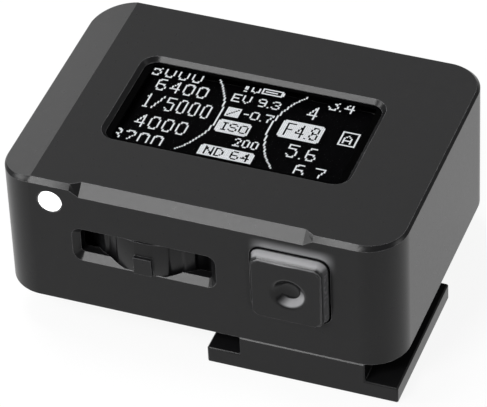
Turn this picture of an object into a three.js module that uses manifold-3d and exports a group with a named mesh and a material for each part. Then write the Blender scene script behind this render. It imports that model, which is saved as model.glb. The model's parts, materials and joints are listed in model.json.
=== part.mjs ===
// Shoe mount light meter: a machined box with a display, a thumb wheel, a button and a shoe foot
import * as THREE from 'three';
import { mergeVertices } from 'three/addons/utils/BufferGeometryUtils.js';
import Module from 'manifold-3d';

const wasm = await Module();
wasm.setup();

// All lengths are millimetres. Inside the meter group, x runs from the left end, y from the
// front wall that faces the user and z from the underside of the housing.

// Housing
const bodyWidth = 39;
const bodyHeight = 14;
const cornerRadius = 3.8;
const wall = 1.5;
const frontChamfer = 0.45;
const sideChamfer = 0.26;
const slopeRun = 3.45;
const slopeDrop = 0.78;
const wideChamfer = 1.03;
const wideStart = 8.5;
const wideLength = 21.7;
const wideRamp = 0.9;
const overrun = 0.6;

// Running gap between pieces that slide or drop into each other
const gap = 0.1;

// Display window, centred on the top, with a margin of housing round it
const windowSideMargin = 7.85;
const windowFrontMargin = 8;
const windowRadius = 1.3;
const windowBevel = 0.4;
const windowLand = 0.08;
const lensLip = 1;
const lensThickness = 0.6;
const tapeThickness = 0.2;
const tapeWidth = 1.2;
const panelSideMargin = 1.7;
const panelFrontMargin = 3.55;
const panelThickness = 1.45;
const padThickness = 1.07;

// Thumb wheel and its slot in the front wall
const slotEndInset = 1.4;
const slotHeight = 3.82;
const slotRadius = 0.9;
const slotDrop = 0.08;
const slotBevel = 0.15;
const wheelBossRoom = 0.75;
const wheelButtonRoom = 5.77;
const wheelBoardRoom = 0.15;
const wheelProud = 0.4;
const wheelHeight = 3.4;
const wheelBevel = 0.12;
const wheelRim = 2.6;
const wheelWeb = 1.3;
const grooveDepth = 0.4;
const nibWidth = 1.76;
const nibHeight = 1.9;
const nibRise = 0.45;
const nibLift = 0.3;
const nibBevel = 0.14;
const pinRadius = 0.75;
const clipRadius = 1.5;
const clipThickness = 0.25;
const jogSwitchWidthShare = 1.02;
const jogSwitchDepthShare = 0.85;

// Round the wheel, in degrees: half the smooth pad at the nib, then grooves at an even pitch
const padDegrees = 18;
const grooveDegrees = 8;
const groovePitchDegrees = 18;
const groovesPerSide = 9;

// One groove across its width and down its depth, in shares
const grooveShares = [[0, 0], [0.1, 0.7], [0.25, 1], [0.75, 1], [0.9, 0.7], [1, 0]];

// Push button, its switch and the small board behind it
const buttonTopMargin = 2.535;
const buttonBottomMargin = 3.995;
const buttonRadius = 1;
const buttonCutShare = 0.7;
const buttonGap = 0.14;
const buttonFromRight = 10.18;
const buttonSides = 1.15;
const buttonDraft = 0.2;
const buttonBevel = 0.25;
const buttonFlange = 0.6;
const buttonFlangeDepth = 0.6;
const dimpleRadius = 1.6;
const dimpleDepth = 0.8;
const tactMargin = 0.735;
const tactDepth = 2.5;
const plungerRadius = 1.45;
const plungerLength = 1.3;
const plungerSunk = 0.5;
const plungerBore = 1.2;
const buttonStemLength = 0.7;
const smallBoardThickness = 0.8;
const smallBoardMargin = 1;

// Indicator light
const ledRadius = 1.125;
const ledCentreX = 5.6;
const ledFromTop = 2.26;
const ledPipeRadius = 0.6;
const ledPipeLength = 1;
const ledWidth = 1.6;
const ledDepth = 1.2;

// Circuit board and what sits on it
const boardThickness = 1;
const boardMargin = 0.9;
const boardBossGap = 0.4;
const chipSize = 7;
const chipThickness = 0.9;
const chipAside = 2.45;
const chipSensorRoom = 1.9;
const padMarginShare = 0.12;
const socketWidth = 2.6;
const socketDepth = 3.4;
const socketHeight = 1.2;
const socketCentreY = 9.6;
const flexWidth = 12;
const flexThickness = 0.15;
const flexReach = 0.35;
const connectorWidth = 2;
const connectorHeight = 0.85;

// Screw bosses of the housing: from the left, from the front
const bossRadius = 1.7;
const bossInset = 3.7;
const ledBossY = 7;
const frontBossAside = 1.8;
const frontBossY = 2.9;
const frontBossRoom = 0.65;
const boardBossRadius = 1.1;
const boardBossInset = 3.3;
const boardBossSideY = 14.2;
const boardBossBackX = 10;

// Screws
const screwShank = 0.55;
const screwHead = 1.1;
const screwCone = 0.55;
const coverScrewShare = 0.243;
const screwTipRoom = 0.5;
const boardScrewHead = 1;
const boardScrewHeadHeight = 0.5;
const boardScrewLength = 2.4;
const footScrewShank = 0.8;
const footScrewHead = 1.55;
const footScrewCone = 0.8;

// Base cover and shoe foot
const coverThickness = 1.5;
const footWidth = 18.6;
const footLength = 15.24;
const footThickness = 1.8;
const stemWidth = 12.2;
const stemHeight = 2.03;
const footProud = 0.1;
const footChamfer = 0.145;
const footScrewShareX = 0.59;
const footScrewShareY = 0.55;

// Battery
const batteryLeftRoom = 5;
const batteryRightRoom = 6;
const batteryBackRoom = 1.1;
const batteryPortRoom = 1.1;
const batteryRadius = 0.8;
const batteryTape = 0.2;
const batteryTapeMargin = 1.5;
const leadRadius = 0.35;
const leadSpacing = 1.4;
const leadReachShare = 0.6;
const leadRiseShare = 0.4;
const leadSteps = 12;
const leadFacets = 4;

// Charging port in the left end
const portWidth = 8.94;
const portHeight = 3.2;
const portLength = 7.3;
const portWall = 0.3;
const portInset = 0.3;
const portWheelRoom = 5.38;
const portBossRoom = 0.33;
const portRoundShare = 0.495;
const portGap = 0.15;
const tongueWidth = 6.7;
const tongueThickness = 0.7;
const tongueLength = 5;

// Metering cell behind the rear wall
const sensorFromRight = 9.5;
const sensorBoardRoom = 1.8;
const sensorWindowRadius = 2.6;
const sensorWindowThickness = 0.9;
const sensorRecess = 0.1;
const sensorHoleRadius = 1.6;
const tubeRadius = 1.78;
const tubeBore = 1.4;
const tubeLength = 3.4;
const sensorWidth = 1.8;
const sensorHeight = 1.4;
const sensorThickness = 0.6;
const sensorBoardWidth = 6;
const sensorBoardThickness = 0.8;

// Facets: steps of a quarter round and of a full round
const quarterSteps = 3;
const roundSteps = 24;
const hairbreadth = 1e-6;

// Button and wheel: the wheel fills the room from the boss at the left to the button's side
const buttonSize = bodyHeight - buttonTopMargin - buttonBottomMargin;
const buttonCentreX = bodyWidth - buttonFromRight;
const buttonCentreZ = buttonBottomMargin + buttonSize / 2;
const flangeSize = buttonSize + 2 * (buttonGap + buttonFlange);
const tactSize = buttonSize - 2 * tactMargin;
const wheelLeft = bossInset + bossRadius + wheelBossRoom;
const wheelRight = buttonCentreX - wheelButtonRoom;
const wheelRadius = (wheelRight - wheelLeft) / 2;
const slotCentreX = (wheelRight + wheelLeft) / 2;
const slotWidth = 2 * (wheelRadius - slotEndInset);
const pivotY = wheelRadius - wheelProud;

// The housing is as deep as the wheel, the port behind it and the rear boss need
const portStart = pivotY + portWheelRoom;
const portCentreY = portStart + portWidth / 2;
const bodyDepth = portStart + portWidth + portBossRoom + bossRadius + bossInset;
const centreX = bodyWidth / 2;
const centreY = bodyDepth / 2;
const footHeight = footThickness + stemHeight;
const footCentreX = bodyWidth - footWidth / 2;
const footCentreY = footLength / 2 - footProud;
const footScrewSpacingX = stemWidth * footScrewShareX;
const footScrewSpacingY = footLength * footScrewShareY;

// Display, from the top down
const windowWidth = bodyWidth - 2 * windowSideMargin;
const windowDepth = bodyDepth - 2 * windowFrontMargin;
const panelWidth = windowWidth + 2 * panelSideMargin;
const panelDepth = windowDepth + 2 * panelFrontMargin;
const lensTop = bodyHeight - windowBevel - windowLand;
const lensBottom = lensTop - lensThickness;
const panelTop = lensBottom - tapeThickness;
const cavityTop = panelTop;
const panelBottom = panelTop - panelThickness;
const boardTop = panelBottom - padThickness;
const boardBottom = boardTop - boardThickness;
const connectorEndX = centreX + panelWidth / 2 - gap;

// Behind the front wall
const ledCentreZ = bodyHeight - ledFromTop;
const wheelTop = boardBottom - wheelBoardRoom;
const wheelBottom = wheelTop - wheelHeight;
const wheelCentreZ = wheelTop - wheelHeight / 2;
const slotCentreZ = wheelCentreZ - slotDrop;
const nibCentreZ = wheelBottom + nibLift + nibHeight / 2;
const webTop = wheelBottom + wheelWeb;
const jogSwitchWidth = (wheelRadius - wheelRim) * jogSwitchWidthShare;
const jogSwitchDepth = (wheelRadius - wheelRim) * jogSwitchDepthShare;
const buttonBack = wall + gap + buttonFlangeDepth;
const plungerFront = buttonBack + buttonStemLength;
const tactFront = plungerFront + plungerLength - plungerSunk;
const tactBack = tactFront + tactDepth;
const smallBoardBack = tactBack + smallBoardThickness;
const boardNotch = flangeSize / 2 + boardBossGap;
const frontBossTop = wheelBottom - frontBossRoom;
const coverScrewLength = bodyHeight * coverScrewShare;

// Battery, socket, chip and metering cell
const batteryStartX = wall + batteryLeftRoom;
const batteryStartY = smallBoardBack + gap;
const batteryEndX = bodyWidth - wall - batteryRightRoom;
const batteryEndY = bodyDepth - wall - batteryBackRoom;
const batteryBottom = coverThickness + batteryTape;
const batteryTop = boardBottom - portHeight - batteryPortRoom;
const socketCentreX = bodyWidth - wall - boardMargin - socketWidth / 2;
const sensorCentreX = bodyWidth - sensorFromRight;
const sensorCentreZ = boardBottom - sensorBoardRoom;
const sensorBoardBack = bodyDepth - wall - tubeLength;
const chipCentreX = wheelRight + chipAside;
const chipCentreY = sensorBoardBack - sensorBoardThickness - chipSensorRoom - chipSize / 2;

// Bosses for the cover's screws, with the height each one ends at
const coverBosses = [
  { at: [bossInset, ledBossY], top: bodyHeight },
  { at: [bodyWidth - footWidth - frontBossAside, frontBossY], top: frontBossTop },
  { at: [bossInset, bodyDepth - bossInset], top: bodyHeight },
  { at: [bodyWidth - bossInset, bodyDepth - bossInset], top: bodyHeight },
];
const boardBosses = [
  [bodyWidth - boardBossInset, boardBossInset],
  [bodyWidth - bossInset, boardBossSideY],
  [boardBossBackX, bodyDepth - boardBossInset + boardBossGap],
];

// Finishes
const finishes = {
  anodised: { color: 0x2f3032, roughness: 0.42, metalness: 0.6 },
  steel: { color: 0x9a9a9c, roughness: 0.35, metalness: 1 },
  darkSteel: { color: 0x3a3a3c, roughness: 0.4, metalness: 0.9 },
  blackPlastic: { color: 0x1c1c1e, roughness: 0.5, metalness: 0 },
  smokedPane: { color: 0x0a0a0c, roughness: 0.08, metalness: 0 },
  glassPanel: { color: 0x101014, roughness: 0.15, metalness: 0 },
  whitePlastic: { color: 0xf4f4f2, roughness: 0.35, metalness: 0 },
  circuitBoard: { color: 0x174a2c, roughness: 0.5, metalness: 0 },
  foam: { color: 0x2a2a2a, roughness: 0.95, metalness: 0 },
  amberFilm: { color: 0xb06a1c, roughness: 0.45, metalness: 0 },
  foil: { color: 0xb8bcc2, roughness: 0.4, metalness: 0.5 },
  redLead: { color: 0xa81c18, roughness: 0.6, metalness: 0 },
  blackLead: { color: 0x141414, roughness: 0.6, metalness: 0 },
  frosted: { color: 0xdfe3e6, roughness: 0.4, metalness: 0 },
};

// Solids

function solidOf(geometry) {
  const plain = geometry.clone();
  plain.deleteAttribute('normal');
  plain.deleteAttribute('uv');
  const merged = mergeVertices(plain);
  const vertProperties = new Float32Array(merged.attributes.position.array);
  const triVerts = new Uint32Array(merged.index.array);
  return new wasm.Manifold(new wasm.Mesh({ numProp: 3, vertProperties, triVerts }));
}

function geometryOf(solid) {
  const mesh = solid.getMesh();
  const geometry = new THREE.BufferGeometry();
  geometry.setAttribute('position', new THREE.BufferAttribute(new Float32Array(mesh.vertProperties), 3));
  geometry.setIndex(new THREE.BufferAttribute(new Uint32Array(mesh.triVerts), 1));
  geometry.computeVertexNormals();
  return geometry;
}

// A shape is drawn in the two axes that lie across the way it is extruded
const bases = {
  x: [new THREE.Vector3(0, 1, 0), new THREE.Vector3(0, 0, 1), new THREE.Vector3(1, 0, 0)],
  y: [new THREE.Vector3(1, 0, 0), new THREE.Vector3(0, 0, 1), new THREE.Vector3(0, -1, 0)],
  z: [new THREE.Vector3(1, 0, 0), new THREE.Vector3(0, 1, 0), new THREE.Vector3(0, 0, 1)],
};

function prism(shape, axis, from, to, curveSegments = quarterSteps) {
  const options = { depth: to - from, bevelEnabled: false, curveSegments };
  const geometry = new THREE.ExtrudeGeometry(shape, options);
  geometry.applyMatrix4(new THREE.Matrix4().makeBasis(...bases[axis]));
  const start = axis === 'y' ? to : from;
  geometry.translate(axis === 'x' ? start : 0, axis === 'y' ? start : 0, axis === 'z' ? start : 0);
  return solidOf(geometry);
}

function box(low, high) {
  const size = high.map((value, i) => value - low[i]);
  const geometry = new THREE.BoxGeometry(...size);
  geometry.translate(...low.map((value, i) => value + size[i] / 2));
  return solidOf(geometry);
}

// A round rod along one axis; across holds its centre in the other two axes, in x, y, z order
function rod(axis, across, radius, from, to) {
  const shape = new THREE.Shape();
  shape.absarc(across[0], across[1], radius, 0, Math.PI * 2);
  return prism(shape, axis, from, to, roundSteps / 2);
}

function roundedRectangle(low, high, radius) {
  const [x0, y0] = low;
  const [x1, y1] = high;
  const shape = new THREE.Shape();
  shape.absarc(x1 - radius, y0 + radius, radius, -Math.PI / 2, 0);
  shape.absarc(x1 - radius, y1 - radius, radius, 0, Math.PI / 2);
  shape.absarc(x0 + radius, y1 - radius, radius, Math.PI / 2, Math.PI);
  shape.absarc(x0 + radius, y0 + radius, radius, Math.PI, Math.PI * 1.5);
  shape.closePath();
  return shape;
}

function around(centre, width, height, radius) {
  const low = [centre[0] - width / 2, centre[1] - height / 2];
  const high = [centre[0] + width / 2, centre[1] + height / 2];
  return roundedRectangle(low, high, radius);
}

// Closed skin through rings of equally many points, listed from the lowest up
function loft(rings) {
  const count = rings[0].length;
  const positions = rings.flat().flatMap((point) => [point.x, point.y, point.z]);
  const index = [];
  for (let ring = 0; ring + 1 < rings.length; ring += 1) {
    for (let i = 0; i < count; i += 1) {
      const next = (i + 1) % count;
      const a = ring * count + i;
      const b = ring * count + next;
      index.push(a, b, b + count, a, b + count, a + count);
    }
  }
  const contour = rings[0].map((point) => new THREE.Vector2(point.x, point.y));
  const last = (rings.length - 1) * count;
  for (const [a, b, c] of THREE.ShapeUtils.triangulateShape(contour, [])) {
    index.push(a, c, b, last + a, last + b, last + c);
  }
  const geometry = new THREE.BufferGeometry();
  geometry.setAttribute('position', new THREE.Float32BufferAttribute(positions, 3));
  geometry.setIndex(index);
  return solidOf(geometry);
}

// A shape's outline as a ring of a loft, at one height of the loft
function ringOf(shape, height) {
  const points = shape.getPoints(quarterSteps);
  const following = (i) => points[(i + 1) % points.length];
  const distinct = points.filter((point, i) => point.distanceTo(following(i)) > hairbreadth);
  return distinct.map((point) => new THREE.Vector3(point.x, point.y, height));
}

// Lofts are built standing up and are then laid over so that their height runs to the front
function towardsFront(solid) {
  const turn = new THREE.Matrix4().makeBasis(...bases.y);
  return solid.transform(turn.elements);
}

// Housing outline: the top edge is chamfered more along the front than along the sides
function housingRing(inset, height) {
  const steps = quarterSteps * 4;
  const points = [];
  const corners = [
    [bodyWidth - cornerRadius, cornerRadius, -Math.PI / 2, (share) => 1 - share],
    [bodyWidth - cornerRadius, bodyDepth - cornerRadius, 0, () => 0],
    [cornerRadius, bodyDepth - cornerRadius, Math.PI / 2, () => 0],
    [cornerRadius, cornerRadius, Math.PI, (share) => share],
  ];
  for (const [x, y, start, frontShare] of corners) {
    for (let step = 0; step <= steps; step += 1) {
      const share = step / steps;
      const angle = start + (share * Math.PI) / 2;
      const chamfer = THREE.MathUtils.lerp(sideChamfer, frontChamfer, frontShare(share));
      const radius = cornerRadius - inset * chamfer;
      const z = height === 0 ? 0 : height - (1 - inset) * chamfer;
      points.push(new THREE.Vector3(x + radius * Math.cos(angle), y + radius * Math.sin(angle), z));
    }
  }
  return points;
}

function housingBlock() {
  const lower = housingRing(0, 0);
  const block = loft([lower, housingRing(0, bodyHeight), housingRing(1, bodyHeight)]);

  // The left end falls away in one flat slope, with the same chamfer round its edge
  const fall = slopeDrop / slopeRun;
  const deep = lower.map((point) => new THREE.Vector3(point.x, point.y, -fall * bodyWidth));
  const leaning = loft([deep, housingRing(0, bodyHeight), housingRing(1, bodyHeight)]);
  const shear = new THREE.Matrix4().set(1, 0, 0, 0, 0, 1, 0, 0, fall, 0, 1, -fall * slopeRun, 0, 0, 0, 1);
  return block.intersect(leaning.transform(shear.elements));
}

// The wide chamfer over the controls ends in a short ramp at each side
function wideChamferCut() {
  const half = Math.SQRT1_2;
  const rise = (wideChamfer - frontChamfer) * half;
  const run = wideRamp / rise;
  const reach = wideChamfer + overrun;
  const end = wideStart + wideLength;
  const shape = new THREE.Shape();
  shape.moveTo(wideStart, 0);
  shape.lineTo(end, 0);
  shape.lineTo(end + run * reach, reach);
  shape.lineTo(wideStart - run * reach, reach);
  shape.closePath();
  const geometry = new THREE.ExtrudeGeometry(shape, { depth: reach * 2, bevelEnabled: false });
  geometry.translate(0, 0, -reach);
  const across = new THREE.Vector3(1, 0, 0);
  const outward = new THREE.Vector3(0, -half, half);
  const along = new THREE.Vector3(0, -half, -half);
  geometry.applyMatrix4(new THREE.Matrix4().makeBasis(across, outward, along));
  geometry.translate(0, wideChamfer / 2, bodyHeight - wideChamfer / 2);
  return solidOf(geometry);
}

// Window: a bevel at the surface, a short straight land and a pocket from inside for the pane
function windowCut() {
  const rings = [];
  const centre = [centreX, centreY];
  const levels = [
    [0, lensBottom],
    [0, bodyHeight - windowBevel],
    [windowBevel, bodyHeight],
    [windowBevel, bodyHeight + overrun],
  ];
  for (const [spread, z] of levels) {
    const width = windowWidth + 2 * spread;
    const depth = windowDepth + 2 * spread;
    rings.push(ringOf(around(centre, width, depth, windowRadius + spread), z));
  }
  const pocketWidth = windowWidth + 2 * (lensLip + gap);
  const pocketDepth = windowDepth + 2 * (lensLip + gap);
  const pocketShape = around(centre, pocketWidth, pocketDepth, windowRadius);
  return loft(rings).add(prism(pocketShape, 'z', cavityTop - overrun, lensTop));
}

// An opening in the front wall with a small bevel round its outer edge
function frontOpening(shapeOf, bevel) {
  const rings = [
    ringOf(shapeOf(0), -wall - overrun),
    ringOf(shapeOf(0), -bevel),
    ringOf(shapeOf(bevel), 0),
    ringOf(shapeOf(bevel), overrun),
  ];
  return towardsFront(loft(rings));
}

function bodyShell() {
  let shell = housingBlock().subtract(wideChamferCut());
  const low = [wall, wall];
  const high = [bodyWidth - wall, bodyDepth - wall];
  let cavity = prism(roundedRectangle(low, high, cornerRadius - wall), 'z', -overrun, cavityTop);
  for (const { at, top } of coverBosses) {
    cavity = cavity.subtract(rod('z', at, bossRadius, coverThickness, top));
  }
  for (const boss of boardBosses) {
    cavity = cavity.subtract(rod('z', boss, boardBossRadius, boardTop, bodyHeight));
  }
  shell = shell.subtract(cavity).subtract(windowCut());
  for (const { at } of coverBosses) {
    shell = shell.subtract(rod('z', at, screwShank + gap, -overrun, coverScrewLength + screwTipRoom));
  }
  const boardScrewEnd = boardBottom + boardScrewLength;
  for (const boss of boardBosses) {
    shell = shell.subtract(rod('z', boss, screwShank + gap, boardBottom, boardScrewEnd + screwTipRoom));
  }

  const slotCentre = [slotCentreX, slotCentreZ];
  const slot = (grow) => around(slotCentre, slotWidth + 2 * grow, slotHeight + 2 * grow, slotRadius + grow);
  shell = shell.subtract(frontOpening(slot, slotBevel));

  const buttonCentre = [buttonCentreX, buttonCentreZ];
  const buttonHole = buttonSize + 2 * buttonGap;
  const hole = around(buttonCentre, buttonHole, buttonHole, buttonRadius + buttonGap);
  shell = shell.subtract(prism(hole, 'y', -overrun, wall + overrun));
  const ledCentre = [ledCentreX, ledCentreZ];
  shell = shell.subtract(rod('y', ledCentre, ledRadius + gap, -overrun, wall - ledPipeRadius));
  shell = shell.subtract(rod('y', ledCentre, ledPipeRadius + gap, 0, wall + overrun));

  const portCentre = [portCentreY, boardBottom - portHeight / 2];
  const mouthWidth = portWidth + 2 * portGap;
  const mouthHeight = portHeight + 2 * portGap;
  const mouth = around(portCentre, mouthWidth, mouthHeight, mouthHeight * portRoundShare);
  shell = shell.subtract(prism(mouth, 'x', -overrun, wall + overrun));

  const sensorCentre = [sensorCentreX, sensorCentreZ];
  const seat = bodyDepth - sensorRecess - sensorWindowThickness;
  shell = shell.subtract(rod('y', sensorCentre, sensorWindowRadius + gap, seat, bodyDepth + overrun));
  shell = shell.subtract(rod('y', sensorCentre, sensorHoleRadius, bodyDepth - wall - overrun, bodyDepth));
  return shell;
}

// Screws

// Countersunk screw standing on its head, its shank pointing up
function countersunk(head, shank, cone, length) {
  const profile = [
    new THREE.Vector2(0, 0),
    new THREE.Vector2(head, 0),
    new THREE.Vector2(shank, cone),
    new THREE.Vector2(shank, length),
    new THREE.Vector2(0, length),
  ];
  const geometry = new THREE.LatheGeometry(profile, roundSteps / 2);
  geometry.rotateX(Math.PI / 2);
  return solidOf(geometry);
}

// What a countersunk screw needs cut away, a running gap larger all round
function countersink(at, head, shank, cone, length) {
  const seat = countersunk(head + gap, shank + gap, cone, length);
  const mouth = rod('z', [0, 0], head + gap, -overrun, 0);
  return seat.add(mouth).translate(at);
}

function panHead(head, headHeight, shank, length) {
  const profile = [
    new THREE.Vector2(0, -headHeight),
    new THREE.Vector2(head, -headHeight),
    new THREE.Vector2(head, 0),
    new THREE.Vector2(shank, 0),
    new THREE.Vector2(shank, length),
    new THREE.Vector2(0, length),
  ];
  const geometry = new THREE.LatheGeometry(profile, roundSteps / 2);
  geometry.rotateX(Math.PI / 2);
  return solidOf(geometry);
}

// Underside

function footScrewPlaces() {
  const places = [];
  for (const side of [-1, 1]) {
    for (const end of [-1, 1]) {
      const x = footCentreX + (side * footScrewSpacingX) / 2;
      const y = footCentreY + (end * footScrewSpacingY) / 2;
      places.push([x, y]);
    }
  }
  return places;
}

function baseCover() {
  const low = [wall + gap, wall + gap];
  const high = [bodyWidth - wall - gap, bodyDepth - wall - gap];
  let cover = prism(roundedRectangle(low, high, cornerRadius - wall - gap), 'z', 0, coverThickness);
  for (const { at } of coverBosses) {
    cover = cover.subtract(countersink([...at, 0], screwHead, screwShank, screwCone, coverScrewLength));
  }
  for (const place of footScrewPlaces()) {
    cover = cover.subtract(rod('z', place, footScrewShank + gap, -overrun, bodyHeight));
  }
  return cover;
}

// One end view of the foot, drawn out to its length, with a fine chamfer round the front
function shoeFoot() {
  const flangeTop = -stemHeight;
  const bottom = -footHeight;
  const halfFoot = footWidth / 2;
  const halfStem = stemWidth / 2;
  const endView = (inset) => {
    const shape = new THREE.Shape();
    shape.moveTo(footCentreX - halfFoot + inset, bottom + inset);
    shape.lineTo(footCentreX + halfFoot - inset, bottom + inset);
    shape.lineTo(footCentreX + halfFoot - inset, flangeTop - inset);
    shape.lineTo(footCentreX + halfStem - inset, flangeTop - inset);
    shape.lineTo(footCentreX + halfStem - inset, -inset);
    shape.lineTo(footCentreX - halfStem + inset, -inset);
    shape.lineTo(footCentreX - halfStem + inset, flangeTop - inset);
    shape.lineTo(footCentreX - halfFoot + inset, flangeTop - inset);
    shape.closePath();
    return shape;
  };
  const rings = [
    ringOf(endView(footChamfer), footProud - footLength),
    ringOf(endView(0), footProud - footLength + footChamfer),
    ringOf(endView(0), footProud - footChamfer),
    ringOf(endView(footChamfer), footProud),
  ];
  let foot = towardsFront(loft(rings));
  const through = footHeight + overrun;
  for (const [x, y] of footScrewPlaces()) {
    const hole = countersink([x, y, bottom], footScrewHead, footScrewShank, footScrewCone, through);
    foot = foot.subtract(hole);
  }
  return foot;
}

// Display

function windowLens() {
  const width = windowWidth + 2 * lensLip;
  const depth = windowDepth + 2 * lensLip;
  const shape = around([centreX, centreY], width, depth, windowRadius);
  return prism(shape, 'z', lensBottom, lensTop);
}

function lensTape() {
  const width = windowWidth + 2 * lensLip;
  const depth = windowDepth + 2 * lensLip;
  const outer = around([centreX, centreY], width, depth, windowRadius);
  const inner = around([centreX, centreY], width - 2 * tapeWidth, depth - 2 * tapeWidth, windowRadius);
  const tape = prism(outer, 'z', panelTop, lensBottom);
  return tape.subtract(prism(inner, 'z', panelTop - overrun, lensBottom + overrun));
}

function oledPanel() {
  const low = [centreX - panelWidth / 2, centreY - panelDepth / 2, panelBottom];
  const high = [centreX + panelWidth / 2, centreY + panelDepth / 2, panelTop];
  return box(low, high);
}

function panelPad() {
  const marginX = panelWidth * padMarginShare;
  const marginY = panelDepth * padMarginShare;
  const low = [centreX - panelWidth / 2 + marginX, centreY - panelDepth / 2 + marginY, boardTop];
  const high = [centreX + panelWidth / 2 - marginX, centreY + panelDepth / 2 - marginY, panelBottom];
  return box(low, high);
}

function flexConnector() {
  const low = [connectorEndX - connectorWidth, centreY - flexWidth / 2, boardTop];
  return box(low, [connectorEndX, centreY + flexWidth / 2, boardTop + connectorHeight]);
}

// The ribbon leaves the panel's right edge, turns under and goes into the connector
function panelFlex() {
  const upper = panelTop - panelThickness / 2;
  const lower = boardTop + connectorHeight / 2;
  const radius = (upper - lower) / 2;
  const middle = (upper + lower) / 2;
  const turnX = centreX + panelWidth / 2 + flexReach;
  const shape = new THREE.Shape();
  shape.moveTo(connectorEndX, lower - flexThickness / 2);
  shape.absarc(turnX, middle, radius + flexThickness / 2, -Math.PI / 2, Math.PI / 2);
  shape.lineTo(centreX + panelWidth / 2, upper + flexThickness / 2);
  shape.lineTo(centreX + panelWidth / 2, upper - flexThickness / 2);
  shape.absarc(turnX, middle, radius - flexThickness / 2, Math.PI / 2, -Math.PI / 2, true);
  shape.lineTo(connectorEndX, lower + flexThickness / 2);
  shape.closePath();
  return prism(shape, 'y', centreY - flexWidth / 2, centreY + flexWidth / 2, quarterSteps * 2);
}

// Circuit board

function mainBoard() {
  const inset = wall + boardMargin;
  const low = [inset, inset, boardBottom];
  let board = box(low, [bodyWidth - inset, bodyDepth - inset, boardTop]);
  for (const { at, top } of coverBosses) {
    if (top > boardBottom) {
      const clear = bossRadius + boardBossGap;
      board = board.subtract(rod('z', at, clear, boardBottom - overrun, boardTop + overrun));
    }
  }
  const cornerCut = bossInset + bossRadius + boardBossGap;
  const cornerY = bodyDepth - cornerCut;
  board = board.subtract(box([bodyWidth - cornerCut, cornerY, 0], [bodyWidth, bodyDepth, bodyHeight]));
  board = board.subtract(box([0, cornerY, 0], [cornerCut, bodyDepth, bodyHeight]));

  // A notch leaves room for the button's flange and the small board behind its switch
  const notchLow = [buttonCentreX - boardNotch, 0, 0];
  board = board.subtract(box(notchLow, [buttonCentreX + boardNotch, smallBoardBack, bodyHeight]));
  for (const boss of boardBosses) {
    board = board.subtract(rod('z', boss, screwShank + gap, 0, bodyHeight));
  }
  return board;
}

function controllerChip() {
  const low = [chipCentreX - chipSize / 2, chipCentreY - chipSize / 2, boardBottom - chipThickness];
  return box(low, [chipCentreX + chipSize / 2, chipCentreY + chipSize / 2, boardBottom]);
}

// Thumb wheel

// The wheel's rim from above: a smooth pad in the middle of the front, grooves from there round
function wheelRing(inset, z) {
  const half = [];
  const padSteps = quarterSteps;
  for (let step = 1; step <= padSteps; step += 1) {
    half.push([0, (padDegrees * step) / (padSteps + 1)]);
  }
  for (let groove = 0; groove < groovesPerSide; groove += 1) {
    const start = padDegrees + groove * groovePitchDegrees;
    for (const [acrossShare, depthShare] of grooveShares) {
      half.push([depthShare * grooveDepth, start + acrossShare * grooveDegrees]);
    }
    half.push([0, start + (grooveDegrees + groovePitchDegrees) / 2]);
  }
  const left = half.map(([sunk, degrees]) => [sunk, -degrees]).reverse();
  return [...left, [0, 0], ...half].map(([sunk, degrees]) => {
    const turn = THREE.MathUtils.degToRad(degrees) - Math.PI / 2;
    const radius = wheelRadius - sunk - inset;
    return new THREE.Vector3(radius * Math.cos(turn), radius * Math.sin(turn), z);
  });
}

// The nib stands out of the lower half of the pad, its end bevelled
function wheelNib() {
  const nibShape = (inset) => {
    const width = nibWidth - 2 * inset;
    const height = nibHeight - 2 * inset;
    return around([0, nibCentreZ], width, height, nibBevel);
  };
  const tip = wheelRadius + nibRise;
  const nib = loft([
    ringOf(nibShape(0), wheelRadius - wheelRim / 2),
    ringOf(nibShape(0), tip - nibBevel),
    ringOf(nibShape(nibBevel), tip),
  ]);
  return towardsFront(nib);
}

function jogWheel() {
  let wheel = loft([
    wheelRing(wheelBevel, wheelBottom),
    wheelRing(0, wheelBottom + wheelBevel),
    wheelRing(0, wheelTop - wheelBevel),
    wheelRing(wheelBevel, wheelTop),
  ]);
  wheel = wheel.add(wheelNib());
  wheel = wheel.subtract(rod('z', [0, 0], wheelRadius - wheelRim, webTop, wheelTop + overrun));
  return wheel.subtract(rod('z', [0, 0], pinRadius + gap, wheelBottom - overrun, wheelTop));
}

function jogSwitch() {
  const low = [-jogSwitchWidth / 2, -jogSwitchDepth / 2, webTop + gap];
  return box(low, [jogSwitchWidth / 2, jogSwitchDepth / 2, boardBottom]);
}

function jogPin() {
  return rod('z', [0, 0], pinRadius, wheelBottom - clipThickness, webTop + gap);
}

function jogClip() {
  return rod('z', [0, 0], clipRadius, wheelBottom - 2 * clipThickness, wheelBottom - clipThickness);
}

// Push button

// One ring of the cap: a square whose round corners are pressed flat towards the face
function capRing(inset, cutShare, height) {
  const size = buttonSize - 2 * inset;
  const ring = ringOf(around([0, 0], size, size, buttonRadius), height);
  const perCorner = ring.length / 4;
  return ring.map((point, i) => {
    const corner = Math.floor(i / perCorner) * perCorner;
    const along = (i - corner) / (perCorner - 1);
    const chord = ring[corner].clone().lerp(ring[corner + perCorner - 1], along);
    return point.clone().lerp(chord, cutShare);
  });
}

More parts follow.
